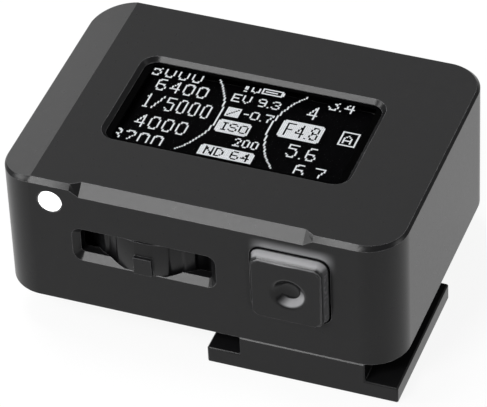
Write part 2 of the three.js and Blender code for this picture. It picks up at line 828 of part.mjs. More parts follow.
function buttonCap() {
  const front = buttonSides + buttonBevel;
  let cap = towardsFront(loft([
    capRing(0, 0, -wall - gap),
    capRing(0, 0, 0),
    capRing(buttonDraft, buttonCutShare, buttonSides),
    capRing(buttonDraft + buttonBevel, buttonCutShare, front),
  ]));
  const flangeShape = around([0, 0], flangeSize, flangeSize, buttonRadius);
  cap = cap.add(prism(flangeShape, 'y', wall + gap, buttonBack));
  cap = cap.add(rod('y', [0, 0], plungerRadius, buttonBack - gap, plungerFront));

  // The dimple is the part of a ball that dips below the face
  const ballRadius = (dimpleRadius ** 2 + dimpleDepth ** 2) / (2 * dimpleDepth);
  const ball = new THREE.SphereGeometry(ballRadius, roundSteps, roundSteps);
  ball.translate(0, dimpleDepth - ballRadius - front, 0);
  return cap.subtract(solidOf(ball));
}

function switchPlunger() {
  return rod('y', [0, 0], plungerRadius, plungerFront, plungerFront + plungerLength);
}

function buttonSwitch() {
  const half = tactSize / 2;
  const body = box([-half, tactFront, -half], [half, tactBack, half]);
  return body.subtract(rod('y', [0, 0], plungerRadius + gap, tactFront - overrun, tactFront + plungerBore));
}

function buttonBoard() {
  const half = tactSize / 2 + smallBoardMargin;
  const low = [-half, tactBack, coverThickness - buttonCentreZ];
  return box(low, [half, smallBoardBack, boardTop - buttonCentreZ]);
}

// Indicator

function ledLens() {
  const face = rod('y', [0, 0], ledRadius, 0, wall - ledPipeRadius);
  return face.add(rod('y', [0, 0], ledPipeRadius, 0, wall + ledPipeLength));
}

function statusLed() {
  const start = wall + ledPipeLength;
  const low = [-ledWidth / 2, start, boardTop - ledCentreZ];
  return box(low, [ledWidth / 2, start + ledDepth, ledPipeRadius]);
}

// Charging port

function portOutline(shrink) {
  const height = portHeight - 2 * shrink;
  return around([0, 0], portWidth - 2 * shrink, height, height * portRoundShare);
}

function usbShell() {
  const shell = prism(portOutline(0), 'x', portInset, portInset + portLength);
  const floor = portInset + portLength - portWall;
  return shell.subtract(prism(portOutline(portWall), 'x', -overrun, floor));
}

function usbTongue() {
  const end = portInset + portLength - portWall;
  const low = [end - tongueLength, -tongueWidth / 2, -tongueThickness / 2];
  return box(low, [end, tongueWidth / 2, tongueThickness / 2]);
}

// Battery

function batteryCell() {
  const shape = roundedRectangle([batteryStartX, batteryStartY], [batteryEndX, batteryEndY], batteryRadius);
  return prism(shape, 'z', batteryBottom, batteryTop);
}

function batteryStrip() {
  const margin = batteryTapeMargin;
  const low = [batteryStartX + margin, batteryStartY + margin, coverThickness];
  return box(low, [batteryEndX - margin, batteryEndY - margin, batteryBottom]);
}

function batterySocket() {
  const low = [socketCentreX - socketWidth / 2, socketCentreY - socketDepth / 2, boardBottom - socketHeight];
  return box(low, [socketCentreX + socketWidth / 2, socketCentreY + socketDepth / 2, boardBottom]);
}

// A lead rises from the cell's right end and turns up into the socket
function batteryLead(side) {
  const y = socketCentreY + (side * leadSpacing) / 2;
  const middle = (batteryBottom + batteryTop) / 2;
  const top = boardBottom - socketHeight;
  const path = new THREE.CatmullRomCurve3([
    new THREE.Vector3(batteryEndX, y, middle),
    new THREE.Vector3(THREE.MathUtils.lerp(batteryEndX, socketCentreX, leadReachShare), y, middle),
    new THREE.Vector3(socketCentreX, y, THREE.MathUtils.lerp(middle, top, leadRiseShare)),
    new THREE.Vector3(socketCentreX, y, top),
  ]);
  const section = new THREE.Shape();
  section.absarc(0, 0, leadRadius, 0, Math.PI * 2);
  const options = { steps: leadSteps, extrudePath: path, curveSegments: leadFacets, bevelEnabled: false };
  return solidOf(new THREE.ExtrudeGeometry(section, options));
}

// Metering cell

function sensorWindow() {
  const start = bodyDepth - sensorRecess - sensorWindowThickness;
  return rod('y', [0, 0], sensorWindowRadius, start, start + sensorWindowThickness);
}

function sensorTube() {
  const tube = rod('y', [0, 0], tubeRadius, sensorBoardBack, bodyDepth - wall);
  return tube.subtract(rod('y', [0, 0], tubeBore, sensorBoardBack - overrun, bodyDepth));
}

function lightSensor() {
  const low = [-sensorWidth / 2, sensorBoardBack, -sensorHeight / 2];
  return box(low, [sensorWidth / 2, sensorBoardBack + sensorThickness, sensorHeight / 2]);
}

function sensorBoard() {
  const start = sensorBoardBack - sensorBoardThickness;
  const below = -tubeRadius;
  const low = [-sensorBoardWidth / 2, start, below];
  return box(low, [sensorBoardWidth / 2, sensorBoardBack, boardBottom - sensorCentreZ]);
}

// Scene

function place(name, solid, finish, at = [0, 0, 0]) {
  const material = new THREE.MeshStandardMaterial(finishes[finish]);
  material.name = finish;
  const mesh = new THREE.Mesh(geometryOf(solid), material);
  mesh.name = name;
  mesh.position.set(...at);
  return mesh;
}

function housing() {
  const group = new THREE.Group();
  group.add(place('body_shell', bodyShell(), 'anodised'));
  group.add(place('base_cover', baseCover(), 'anodised'));
  group.add(place('shoe_foot', shoeFoot(), 'anodised'));
  coverBosses.forEach(({ at }, i) => {
    const screw = countersunk(screwHead, screwShank, screwCone, coverScrewLength);
    group.add(place(`cover_screw_${i + 1}`, screw, 'darkSteel', [...at, 0]));
  });
  footScrewPlaces().forEach(([x, y], i) => {
    const length = footHeight + coverThickness;
    const screw = countersunk(footScrewHead, footScrewShank, footScrewCone, length);
    group.add(place(`foot_screw_${i + 1}`, screw, 'darkSteel', [x, y, -footHeight]));
  });
  return group;
}

function display() {
  const group = new THREE.Group();
  group.add(place('window_lens', windowLens(), 'smokedPane'));
  group.add(place('lens_tape', lensTape(), 'foam'));
  group.add(place('oled_panel', oledPanel(), 'glassPanel'));
  group.add(place('panel_pad', panelPad(), 'foam'));
  group.add(place('panel_flex', panelFlex(), 'amberFilm'));
  group.add(place('flex_connector', flexConnector(), 'blackPlastic'));
  return group;
}

function electronics() {
  const group = new THREE.Group();
  group.add(place('main_board', mainBoard(), 'circuitBoard'));
  group.add(place('controller_chip', controllerChip(), 'blackPlastic'));
  boardBosses.forEach(([x, y], i) => {
    const screw = panHead(boardScrewHead, boardScrewHeadHeight, screwShank, boardScrewLength);
    group.add(place(`board_screw_${i + 1}`, screw, 'steel', [x, y, boardBottom]));
  });
  group.add(place('battery_cell', batteryCell(), 'foil'));
  group.add(place('battery_tape', batteryStrip(), 'foam'));
  group.add(place('battery_socket', batterySocket(), 'whitePlastic'));
  group.add(place('battery_lead_red', batteryLead(-1), 'redLead'));
  group.add(place('battery_lead_black', batteryLead(1), 'blackLead'));
  const port = [0, portCentreY, boardBottom - portHeight / 2];
  group.add(place('usb_shell', usbShell(), 'steel', port));
  group.add(place('usb_tongue', usbTongue(), 'blackPlastic', port));
  return group;
}

function controls() {
  const group = new THREE.Group();
  const pivot = [slotCentreX, pivotY, 0];
  group.add(place('jog_wheel', jogWheel(), 'anodised', pivot));
  group.add(place('jog_switch', jogSwitch(), 'blackPlastic', pivot));
  group.add(place('jog_pin', jogPin(), 'steel', pivot));
  group.add(place('jog_clip', jogClip(), 'steel', pivot));
  const button = [buttonCentreX, 0, buttonCentreZ];
  group.add(place('button_cap', buttonCap(), 'anodised', button));
  group.add(place('switch_plunger', switchPlunger(), 'blackPlastic', button));
  group.add(place('button_switch', buttonSwitch(), 'blackPlastic', button));
  group.add(place('button_board', buttonBoard(), 'circuitBoard', button));
  const light = [ledCentreX, 0, ledCentreZ];
  group.add(place('led_lens', ledLens(), 'whitePlastic', light));
  group.add(place('status_led', statusLed(), 'whitePlastic', light));
  return group;
}

function meteringCell() {
  const group = new THREE.Group();
  const centre = [sensorCentreX, 0, sensorCentreZ];
  group.add(place('sensor_window', sensorWindow(), 'frosted', centre));
  group.add(place('sensor_tube', sensorTube(), 'blackPlastic', centre));
  group.add(place('light_sensor', lightSensor(), 'blackPlastic', centre));
  group.add(place('sensor_board', sensorBoard(), 'circuitBoard', centre));
  return group;
}

// The origin is the middle of the foot's underside, where a camera's shoe holds the meter
const meter = new THREE.Group();
meter.name = 'light_meter';
meter.add(housing(), display(), electronics(), controls(), meteringCell());
meter.position.set(-footCentreX, -footCentreY, footHeight);

export default meter;
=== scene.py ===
"""Fine shapes, finishes, stage and camera for the shoe mount light meter."""

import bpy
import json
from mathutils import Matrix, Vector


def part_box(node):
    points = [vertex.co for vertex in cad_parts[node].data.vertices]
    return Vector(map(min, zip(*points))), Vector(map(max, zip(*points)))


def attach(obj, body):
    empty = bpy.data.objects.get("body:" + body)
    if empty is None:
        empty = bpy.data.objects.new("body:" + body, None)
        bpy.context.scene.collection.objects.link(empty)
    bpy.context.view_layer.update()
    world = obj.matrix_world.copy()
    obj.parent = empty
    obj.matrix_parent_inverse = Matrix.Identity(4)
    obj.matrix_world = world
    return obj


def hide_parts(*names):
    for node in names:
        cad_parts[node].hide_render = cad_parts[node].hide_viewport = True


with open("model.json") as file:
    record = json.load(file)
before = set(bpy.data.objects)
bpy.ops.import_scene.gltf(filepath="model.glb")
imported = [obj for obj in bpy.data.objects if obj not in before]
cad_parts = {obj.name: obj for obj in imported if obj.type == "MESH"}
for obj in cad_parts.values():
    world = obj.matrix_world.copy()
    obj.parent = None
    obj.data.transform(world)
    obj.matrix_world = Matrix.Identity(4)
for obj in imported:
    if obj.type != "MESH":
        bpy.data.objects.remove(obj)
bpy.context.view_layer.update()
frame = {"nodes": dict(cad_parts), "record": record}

import json
import math

import bmesh
import bpy
from mathutils import Matrix, Vector

bl_info = {
    "name": "Shoe mount light meter",
    "version": (1, 0, 0),
    "blender": (4, 5, 0),
    "location": "View3D > Sidebar > Light meter",
    "description": "Builds the fine shapes and finishes of a shoe mount light meter",
    "category": "Object",
}

MM = 0.001
NEAR = 1e-7
IMAGE_WIDTH = 487
SENSOR_WIDTH = 36.0
ANODISED_IOR = 1.31

# The camera, solved from the housing's edges in the photo
FOCAL_PIXELS = 3875
CAMERA_PLACE = Vector((92.900, -252.132, 244.126)) * MM
CAMERA_TURN = (0.895010, 0.410264, 0.089185, 0.150620)

# How far the edge wear and painted edge highlight reach from an edge, the bend from which they start and are full,
# and how much lighter than their colour the painted highlights and the painted reflection over the button are
EDGE_REACH = 0.08 * MM
EDGE_BEND = (0.02, 0.12)
PAINTED_HIGHLIGHT_LIFT = 1.5

# Two corners of the housing: left end, front wall and underside; right end, rear wall and top
CORNER, FAR_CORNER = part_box("body_shell")


def at(x, y, z):
    """A point in metres from millimetres counted from the housing's corner."""
    return CORNER + Vector((x, y, z)) * MM


def centre_of(node):
    low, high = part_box(node)
    return (low + high) / 2


# Sizes and colours that a user may change


def length(name, text, default):
    return bpy.props.FloatProperty(name=name, description=text, default=default * MM, unit="LENGTH", precision=5)


def colour(name, text, default):
    return bpy.props.FloatVectorProperty(name=name, description=text, default=default, subtype="COLOR", min=0, max=1)


class HousingSizes(bpy.types.PropertyGroup):
    corner: length("Corner radius", "Radius of the upright corners", 3.8)
    wall: length("Wall", "Thickness of the side walls", 1.5)
    front_edge: length("Front edge", "Width of the chamfer along the front", 0.45)
    side_edge: length("Side edge", "Width of the chamfer along the other sides", 0.26)
    left_edge: length("Left edge", "Chamfer of the top edge at the left end", 0.1)
    wide_edge: length("Wide edge", "Width of the chamfer over the controls", 1.03)
    slope_run: length("Slope run", "How far the slope at the left end reaches in", 3.67)
    slope_drop: length("Slope drop", "How far that slope falls to the left end", 0.78)
    slot_edge: length("Slot edge", "Chamfer round the wheel's slot", 0.62)
    flare_width: length("Flare width", "How far the soft dip reaches round the button", 0.5)
    flare_depth: length("Flare depth", "Depth of that dip at the button's gap", 0.05)
    window_bevel: length("Window bevel", "Bevel round the display window", 0.4)


class ControlSizes(bpy.types.PropertyGroup):
    wheel_radius: length("Wheel radius", "Outer radius of the thumb wheel", 8.17)
    groove_depth: length("Groove depth", "Depth of the grooves in the wheel's rim", 0.22)
    nib_width: length("Nib width", "Width of the nib on the wheel's pad", 1.76)
    button_size: length("Button size", "Width of the square button", 7.47)
    button_rise: length("Button rise", "How far the button stands out of the wall", 1.2)
    dimple_radius: length("Dimple radius", "Radius of the dimple's rim", 1.65)
    dimple_depth: length("Dimple depth", "Depth of the dimple", 0.9)


class MeterColours(bpy.types.PropertyGroup):
    anodised: colour("Anodised", "Black of the anodised metal", (0.006, 0.006, 0.0064))
    # Colour of edge wear and of painted edge highlights; lifted, it is also the painted highlights on the button and
    # wall
    worn_and_highlight: colour("Worn", "Shade of the metal where its edges are worn", (0.17, 0.17, 0.175))
    readout: colour("Readout", "Colour of the lit display dots", (0.92, 0.95, 0.98))
    indicator: colour("Indicator", "Colour of the lit indicator", (1.0, 1.0, 1.0))
    board: colour("Board", "Colour of the circuit boards", (0.012, 0.07, 0.03))
    floor: colour("Floor", "Colour of the floor", (0.82, 0.82, 0.82))


# Shader maths


class Value:
    """A shader socket that takes part in Python expressions."""

    def __init__(self, nodes, socket):
        self.nodes = nodes
        self.socket = socket

    def maths(self, operation, *others):
        return self.nodes.add("ShaderNodeMath", {"operation": operation}, [self, *others])

    def __add__(self, other):
        return self.maths("ADD", other)

    __radd__ = __add__

    def __mul__(self, other):
        return self.maths("MULTIPLY", other)

    __rmul__ = __mul__

    def __sub__(self, other):
        return self.maths("SUBTRACT", other)

    def __rsub__(self, other):
        return self.nodes.add("ShaderNodeMath", {"operation": "SUBTRACT"}, [other, self])

    def over(self, low, high):
        """0 below low, 1 above high and smooth between them."""
        settings = {"interpolation_type": "SMOOTHSTEP"}
        return self.nodes.add("ShaderNodeMapRange", settings, {"Value": self, "From Min": low, "From Max": high})

    def within(self, start, full, fade, end):
        """1 from full to fade, falling smoothly to 0 at start and end."""
        return self.over(start, full) * (1 - self.over(fade, end))


class Finish:
    """A material that is built up node by node around one Principled shader."""

    def __init__(self, name):
        self.material = bpy.data.materials.new(name)
        self.material.use_nodes = True
        self.tree = self.material.node_tree
        self.tree.nodes.clear()
        self.output = self.tree.nodes.new("ShaderNodeOutputMaterial")

    def add(self, kind, settings=None, inputs=(), out=0):
        node = self.tree.nodes.new(kind)
        for key, value in (settings or {}).items():
            setattr(node, key, value)
        pairs = inputs.items() if isinstance(inputs, dict) else enumerate(inputs)
        for key, value in pairs:
            self.feed(node.inputs[key], value)
        return Value(self, node.outputs[out])

    def feed(self, socket, value):
        if isinstance(value, Value):
            self.tree.links.new(value.socket, socket)
        elif socket.type == "RGBA" and len(value) == 3:
            socket.default_value = (*value, 1)
        else:
            socket.default_value = value

    def place(self):
        return self.add("ShaderNodeTexCoord", out="Object")

    def axis(self, number):
        return self.add("ShaderNodeSeparateXYZ", None, {"Vector": self.place()}, out=number)

    def noise(self, scale, detail=3, rough=0.5, stretch=None):
        vector = self.place()
        if stretch:
            vector = self.add("ShaderNodeMapping", None, {"Vector": vector, "Scale": stretch})
        inputs = {"Vector": vector, "Scale": scale, "Detail": detail, "Roughness": rough}
        return self.add("ShaderNodeTexNoise", None, inputs)

    def mix(self, share, first, second):
        """Blends two colours."""
        node = self.tree.nodes.new("ShaderNodeMix")
        node.data_type = "RGBA"
        colours = [socket for socket in node.inputs if socket.type == "RGBA"]
        self.feed(node.inputs["Factor"], share)
        self.feed(colours[0], first)
        self.feed(colours[1], second)
        return Value(self, next(socket for socket in node.outputs if socket.type == "RGBA"))

    def bump(self, height, distance, strength):
        return self.add("ShaderNodeBump", None, {"Height": height, "Distance": distance, "Strength": strength})

    def edges(self, reach):
        """1 along an edge, within a reach of it, and 0 on flat faces."""
        rounded = self.add("ShaderNodeBevel", {"samples": 4}, {"Radius": reach})
        plain = self.add("ShaderNodeNewGeometry", out="Normal")
        alike = self.add("ShaderNodeVectorMath", {"operation": "DOT_PRODUCT"}, [rounded, plain], out="Value")
        return (1 - alike).over(*EDGE_BEND)

    def surface(self, **inputs):
        named = {key.replace("_", " "): value for key, value in inputs.items()}
        shader = self.add("ShaderNodeBsdfPrincipled", None, named)
        self.tree.links.new(shader.socket, self.output.inputs["Surface"])
        return self.material


def shade(base, factor):
    return tuple(min(1.0, part * factor) for part in base)


def chosen(name):
    """A colour as the user has set it."""
    return tuple(getattr(bpy.context.scene.meter_colours, name))


def anodised_metal(name="anodised_metal", rough=0.26, painted_highlight_mask=None):
    """Bead-blasted black anodised, finely grained and faintly mottled; its lighter edges are wear and painted
    highlight.
    """
    base, worn_and_highlight = chosen("anodised"), chosen("worn_and_highlight")
    finish = Finish(name)
    mottle = finish.noise(900)
    grain = finish.noise(9000, 2, 0.6)
    patchy = 0.35 + 0.65 * finish.noise(1300, 2).over(0.3, 0.6)
    # Edge wear, which is also a painted highlight along every edge
    wear_and_highlight = finish.edges(EDGE_REACH) * patchy
    tint = finish.mix(wear_and_highlight, finish.mix(mottle, shade(base, 0.85), shade(base, 1.15)), worn_and_highlight)
    # A given mask paints highlights and reflections in a lighter colour
    if painted_highlight_mask:
        painted_highlight = painted_highlight_mask(finish)
        tint = finish.mix(painted_highlight, tint, shade(worn_and_highlight, PAINTED_HIGHLIGHT_LIFT))
        wear_and_highlight = wear_and_highlight.maths("MAXIMUM", painted_highlight)
    return finish.surface(
        Base_Color=tint,
        Roughness=rough + 0.05 * finish.noise(2500, 2) + 0.25 * wear_and_highlight,
        Normal=finish.bump(grain, 0.004 * MM, 0.3),
        IOR=ANODISED_IOR)


# The painted reflection over the button: how far right of the button it sits, and where it fades, counted
# outwards from the hole's sides and upwards from its top
PATCH_SHIFT = 0.3 * MM
PATCH_ASIDE = (-1.5 * MM, 0.45 * MM)
PATCH_UP = (-0.1 * MM, 1.25 * MM)


def painted_reflection_over_button(finish):
    """Painted reflection of the button's lit side in the wall over it: strongest at the gap and fading upwards and
    aside.
    """
    x, y, z = (finish.axis(number) for number in range(3))
    aside = (x - BUTTON_CENTRE.x - PATCH_SHIFT).maths("ABSOLUTE")
    across = 1 - aside.over(*(BUTTON_HOLE + out for out in PATCH_ASIDE))
    up = 1 - (z - (BUTTON_CENTRE.z + BUTTON_HOLE)).over(*PATCH_UP)
    near = (z - (BUTTON_CENTRE.z + BUTTON_HOLE / 2)).over(0, BUTTON_HOLE / 2)
    front = 1 - y.over(CORNER.y + 0.02 * MM, CORNER.y + 0.05 * MM)
    return across * up * near * front


def mottled(name, grain, colours, rough, bump=(), **others):
    """A finish whose colour, roughness and bump all follow one noise."""
    finish = Finish(name)
    cloud = finish.noise(*grain)
    if bump:
        others["Normal"] = finish.bump(cloud, *bump)
    base, change = rough
    return finish.surface(Base_Color=finish.mix(cloud, *colours), Roughness=base + change * cloud, **others)


def machined_metal(name, base, rough, stretch=(1, 1, 12)):
    """Bare metal with fine streaks along one axis."""
    colours = shade(base, 0.8), shade(base, 1.15)
    return mottled(name, (1500, 4, 0.6, stretch), colours, (rough, 0.12), (0.004 * MM, 0.4), Metallic=1.0)


def moulded_plastic(name, base, rough=0.4):
    finish = Finish(name)
    texture = finish.noise(3500)
    cloud = finish.noise(250, 2)
    return finish.surface(
        Base_Color=finish.mix(cloud, shade(base, 0.88), shade(base, 1.12)),
        Roughness=rough + 0.08 * cloud,
        Normal=finish.bump(texture, 0.006 * MM, 0.5))


# Where the print under the pane starts and is full, counted outwards from the lit area
PRINT_EDGE = (0.2 * MM, 0.25 * MM)


def smoked_pane():
    """Coated clear pane, printed black from below round the display's lit area."""
    middle = centre_of("window_lens")
    finish = Finish("smoked_pane")
    haze = finish.noise(180)
    aside, beyond = ((finish.axis(axis) - middle[axis]).maths("ABSOLUTE").over(*(lit / 2 + out for out in PRINT_EDGE))
                     for axis, lit in ((0, LIT_WIDTH), (1, LIT_DEPTH)))
    printed = aside.maths("MAXIMUM", beyond)
    return finish.surface(
        Base_Color=finish.mix(haze, (0.0, 0.0, 0.0), (0.001, 0.001, 0.0011)),
        Roughness=0.04 + 0.03 * haze,
        Alpha=printed.maths("MAXIMUM", 0.12 + 0.02 * haze),
        Specular_IOR_Level=0.005)


def lit_dots():
    base = chosen("readout")
    finish = Finish("lit_dots")
    flicker = finish.noise(2200, 2)
    return finish.surface(
        Base_Color=(0.02, 0.02, 0.02),
        Roughness=0.5 + 0.1 * flicker,
        Emission_Color=finish.mix(flicker, shade(base, 0.86), base),
        Emission_Strength=0.92)


def glowing_lens():
    """Milky light pipe, lit from behind."""
    base = chosen("indicator")
    finish = Finish("glowing_lens")
    cloud = finish.noise(900, 2)
    return finish.surface(
        Base_Color=finish.mix(cloud, (0.86, 0.86, 0.86), (0.95, 0.95, 0.95)),
        Roughness=0.3 + 0.1 * cloud,
        Emission_Color=finish.mix(cloud, shade(base, 0.96), base),
        Emission_Strength=1.2)


def circuit_board():
    """Solder mask with faint copper runs under it."""
    base = chosen("board")
    finish = Finish("circuit_board")
    cells = finish.add("ShaderNodeTexBrick", {"offset": 0.37}, {
        "Vector": finish.place(), "Scale": 420.0, "Mortar Size": 0.035, "Mortar Smooth": 0.3}, out="Fac")
    cloud = finish.noise(500)
    return finish.surface(
        Base_Color=finish.mix(cells * 0.6 + cloud * 0.2, base, shade(base, 2.2)),
        Roughness=0.34 + 0.12 * cloud,
        Normal=finish.bump(cells, 0.02 * MM, 0.4))


def foam():
    finish = Finish("foam")
    cells = finish.add("ShaderNodeTexVoronoi", None, {"Vector": finish.place(), "Scale": 4500.0})
    return finish.surface(
        Base_Color=finish.mix(cells, (0.012, 0.012, 0.012), (0.04, 0.04, 0.04)),
        Roughness=0.85 + 0.1 * cells,
        Normal=finish.bump(cells, 0.03 * MM, 0.7))


def frosted_window():
    finish = Finish("frosted_window")
    frost = finish.noise(5200)
    cloud = finish.noise(300, 2)
    return finish.surface(
        Base_Color=finish.mix(cloud, (0.66, 0.69, 0.71), (0.76, 0.78, 0.79)),
        Roughness=0.45 + 0.15 * frost,
        Normal=finish.bump(frost, 0.01 * MM, 0.6),
        Subsurface_Weight=0.15,
        Subsurface_Scale=0.8 * MM)


# Shapes


def mesh_object(name, bm):
    bmesh.ops.recalc_face_normals(bm, faces=bm.faces[:])
    mesh = bpy.data.meshes.new(name)
    bm.to_mesh(mesh)
    bm.free()
    piece = bpy.data.objects.new(name, mesh)
    bpy.context.scene.collection.objects.link(piece)
    return piece


def settle(piece):
    """Makes the piece's modifiers part of its mesh."""
    depsgraph = bpy.context.evaluated_depsgraph_get()
    mesh = bpy.data.meshes.new_from_object(piece.evaluated_get(depsgraph))
    piece.modifiers.clear()
    old = piece.data
    piece.data = mesh
    mesh.name = piece.name
    bpy.data.meshes.remove(old)
    return piece


def combine(piece, tools, operation="DIFFERENCE"):
    for tool in tools:
        modifier = piece.modifiers.new(tool.name, "BOOLEAN")
        modifier.object = tool
        modifier.operation = operation
        modifier.solver = "EXACT"
    settle(piece)
    for tool in tools:
        bpy.data.objects.remove(tool)
    return piece


# Two faces larger than this, in square metres, meet in a crisp line from this angle on, in degrees
CRISP_AREA = 1e-6
CRISP_ANGLE = 8


def bevelled(piece, width, segments, method, **settings):
    """Bevels the edges that the method picks, by their angle or by their weight."""
    modifier = piece.modifiers.new("edge", "BEVEL")
    modifier.width = width
    modifier.segments = segments
    modifier.limit_method = method
    modifier.profile = 0.5
    modifier.material = -1
    for key, value in settings.items():
        setattr(modifier, key, value)
    return settle(piece)


def mark_sharp(bm, smooth):
    """Marks the edges that shade as a line: those past an angle, and flatter ones between two large faces."""
    large = {face for face in bm.faces if face.calc_area() > CRISP_AREA}
    for edge in bm.edges:
        limit = CRISP_ANGLE if large.issuperset(edge.link_faces) else smooth
        edge.smooth = edge.calc_face_angle(0) <= math.radians(limit)
    # A line between large faces that stops at a rounded edge goes on across its first strip
    for vert in [vert for vert in bm.verts if sum(not edge.smooth for edge in vert.link_edges) == 1]:
        line = next(edge for edge in vert.link_edges if not edge.smooth)
        if not large.issuperset(line.link_faces):
            continue
        onward = vert.co - line.other_vert(vert).co
        ahead = [edge for edge in vert.link_edges if edge.smooth and not set(edge.link_faces) & set(line.link_faces)]
        if ahead:
            best = max(ahead, key=lambda edge: onward.dot((edge.other_vert(vert).co - vert.co).normalized()))
            best.smooth = False


def soften(piece, width, segments=2, angle=30, smooth=35):
    """Rounds the sharp edges a little and shades the flat faces flat."""
    if width:
        bevelled(piece, width, segments, "ANGLE", angle_limit=math.radians(angle))
    piece.data.shade_smooth()
    bm = bmesh.new()
    bm.from_mesh(piece.data)
    mark_sharp(bm, smooth)
    bm.to_mesh(piece.data)
    bm.free()
    weighted = piece.modifiers.new("flat", "WEIGHTED_NORMAL")
    weighted.mode = "FACE_AREA"
    weighted.weight = 100
    weighted.keep_sharp = True
    return settle(piece)


def block(low, high):
    bm = bmesh.new()
    matrix = Matrix.Translation((low + high) / 2) @ Matrix.Diagonal((*(high - low), 1))
    bmesh.ops.create_cube(bm, size=1, matrix=matrix)
    return bm


def round_off(bm, parts, radius, segments, kind="EDGES"):
    bmesh.ops.bevel(bm, geom=parts, offset=radius, offset_type="OFFSET", segments=segments, profile=0.5,
                    affect=kind, material=-1, clamp_overlap=False)


def rounded_block(low, high, axis, radius, segments):
    """A block with round edges along one axis."""
    bm = block(low, high)
    ways = [(edge, edge.verts[1].co - edge.verts[0].co) for edge in bm.edges]
    round_off(bm, [edge for edge, way in ways if abs(way[axis]) > 0.999 * way.length], radius, segments)
    return bm


def lengthened(bm, faces, way):
    """Extrudes faces by a vector."""
    made = bmesh.ops.extrude_face_region(bm, geom=faces)
    moved = [item for item in made["geom"] if isinstance(item, bmesh.types.BMVert)]
    bmesh.ops.translate(bm, verts=moved, vec=way)


# Turns that lay an upright rod along each axis, its top end forwards
STANDING = (Matrix.Rotation(math.radians(90), 4, "Y"), Matrix.Rotation(math.radians(-90), 4, "X"), Matrix.Identity(4))


def rod(name, centre, axis, radius, start, end, segments=48, top_radius=None):
    """A round rod along one axis, centred on a point in the other two."""
    bm = bmesh.new()
    middle = centre.copy()
    middle[axis] = (start + end) / 2
    bmesh.ops.create_cone(bm, cap_ends=True, segments=segments, radius1=radius, radius2=top_radius or radius,
                          depth=end - start, matrix=Matrix.Translation(middle) @ STANDING[axis])
    return mesh_object(name, bm)


def turned(name, centre, axis, profile, steps):
    """A round piece along one axis, spun from a profile of radius and place pairs that starts and ends on the axis."""
    bm = bmesh.new()
    verts = []
    for radius, place in profile:
        spot = centre.copy()
        spot[axis] = place
        spot[(axis + 1) % 3] += radius
        verts.append(bm.verts.new(spot))
    edges = [bm.edges.new(pair) for pair in zip(verts, verts[1:])]
    way = Vector((0, 0, 0))
    way[axis] = 1
    bmesh.ops.spin(bm, geom=verts + edges, cent=centre, axis=way, angle=math.tau, steps=steps, use_merge=True)
    bmesh.ops.remove_doubles(bm, verts=bm.verts[:], dist=NEAR)
    return mesh_object(name, bm)


def wear_finish(piece, finish, slot, body="body", *nodes):
    piece.data.materials.clear()
    piece.data.materials.append(finish)
    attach(piece, body)
    if nodes:
        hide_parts(*nodes)
    return piece


# Housing

BUTTON_CENTRE = at(28.82, 0, 7.73)
BUTTON_HOLE = 3.875 * MM
RIM_LOW = at(0, 0, 5.46).z
RIM_HIGH = at(0, 0, 9.13).z
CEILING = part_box("oled_panel")[1].z
OUT = 1 * MM

# The wide part of the front chamfer: its ends, the length of the ramp at each end and how far the wedge stands out
WIDE_ENDS = (8.5 * MM, 30.17 * MM)
WIDE_RAMP = 0.9 * MM
WIDE_REACH = 1.6 * MM
WIDE_DEPTH = 3 * MM

# The soft dip round the button's hole
FLARE_STEPS = 6
FLARE_POWER = 2

# Openings: half their width and height, and the radius of their corners
WINDOW = (11.82 * MM, 6.05 * MM, 1.3 * MM)
SLOT = (7.05 * MM, 1.91 * MM, 0.98 * MM)
POCKET = (12.75 * MM, 7.15 * MM, 1.3 * MM)
HOLE_CORNER = 1.14 * MM
PORT_GAP = 0.15 * MM
PORT_EDGE = 0.2 * MM

# Round holes and bosses, by their radius
LED_SEAT, LED_BORE, LED_DEPTH = 1.225 * MM, 0.7 * MM, 0.9 * MM
SENSOR_SEAT, SENSOR_BORE, SENSOR_EDGE = 2.7 * MM, 1.6 * MM, 0.2 * MM
COVER_BOSS, BOARD_BOSS, SCREW_BORE = 1.7 * MM, 1.1 * MM, 0.65 * MM
FOOT_SCREW_BORE = 0.9 * MM


def housing_blank(sizes):
    """The rounded block with its slope and its chamfered top edge."""
    bm = rounded_block(CORNER, FAR_CORNER, 2, sizes.corner, 24)
    slope_start = Vector((CORNER.x + sizes.slope_run, 0, FAR_CORNER.z))
    outward = Vector((-sizes.slope_drop, 0, sizes.slope_run))
    geometry = bm.verts[:] + bm.edges[:] + bm.faces[:]
    bmesh.ops.bisect_plane(bm, geom=geometry, dist=1e-8, plane_co=slope_start, plane_no=outward, clear_outer=True)
    bmesh.ops.contextual_create(bm, geom=[edge for edge in bm.edges if edge.is_boundary])
    bm.normal_update()

    # The front and the rear take the full width, the ends their own, and the corners change from one to the other
    weights = bm.edges.layers.float.new("bevel_weight_edge")
    for edge in bm.edges:
        upper = [face for face in edge.link_faces if face.normal.z > 0.5]
        side = next((face.normal for face in edge.link_faces if abs(face.normal.z) <= 0.5), None)
        if len(upper) == 1 and side:
            end_share = (sizes.side_edge if side.x > 0 else sizes.left_edge) / sizes.front_edge
            turn = math.atan2(abs(side.x), abs(side.y))
            share = 1 - min(turn / (math.pi / 2), 1)
            edge[weights] = end_share + (1 - end_share) * share
    return bevelled(mesh_object("housing", bm), sizes.front_edge, 1, "WEIGHT", use_clamp_overlap=False)


def wide_edge_tool(sizes):
    """A wedge that widens the chamfer over the controls, with a short ramp at each end."""
    start, end = WIDE_ENDS
    half = math.sqrt(0.5)
    run = WIDE_RAMP / ((sizes.wide_edge - sizes.front_edge) * half) * WIDE_REACH
    middle = CORNER + Vector((0, sizes.wide_edge / 2, FAR_CORNER.z - CORNER.z - sizes.wide_edge / 2))
    outward = Vector((0, -half, half))
    inward = Vector((0, half, half)) * WIDE_DEPTH
    bm = bmesh.new()
    corners = [(start, 0), (end, 0), (end + run, WIDE_REACH), (start - run, WIDE_REACH)]
    verts = [bm.verts.new(middle + Vector((x, 0, 0)) + outward * out - inward) for x, out in corners]
    lengthened(bm, [bm.faces.new(verts)], inward * 2)
    return mesh_object("wide_edge", bm)


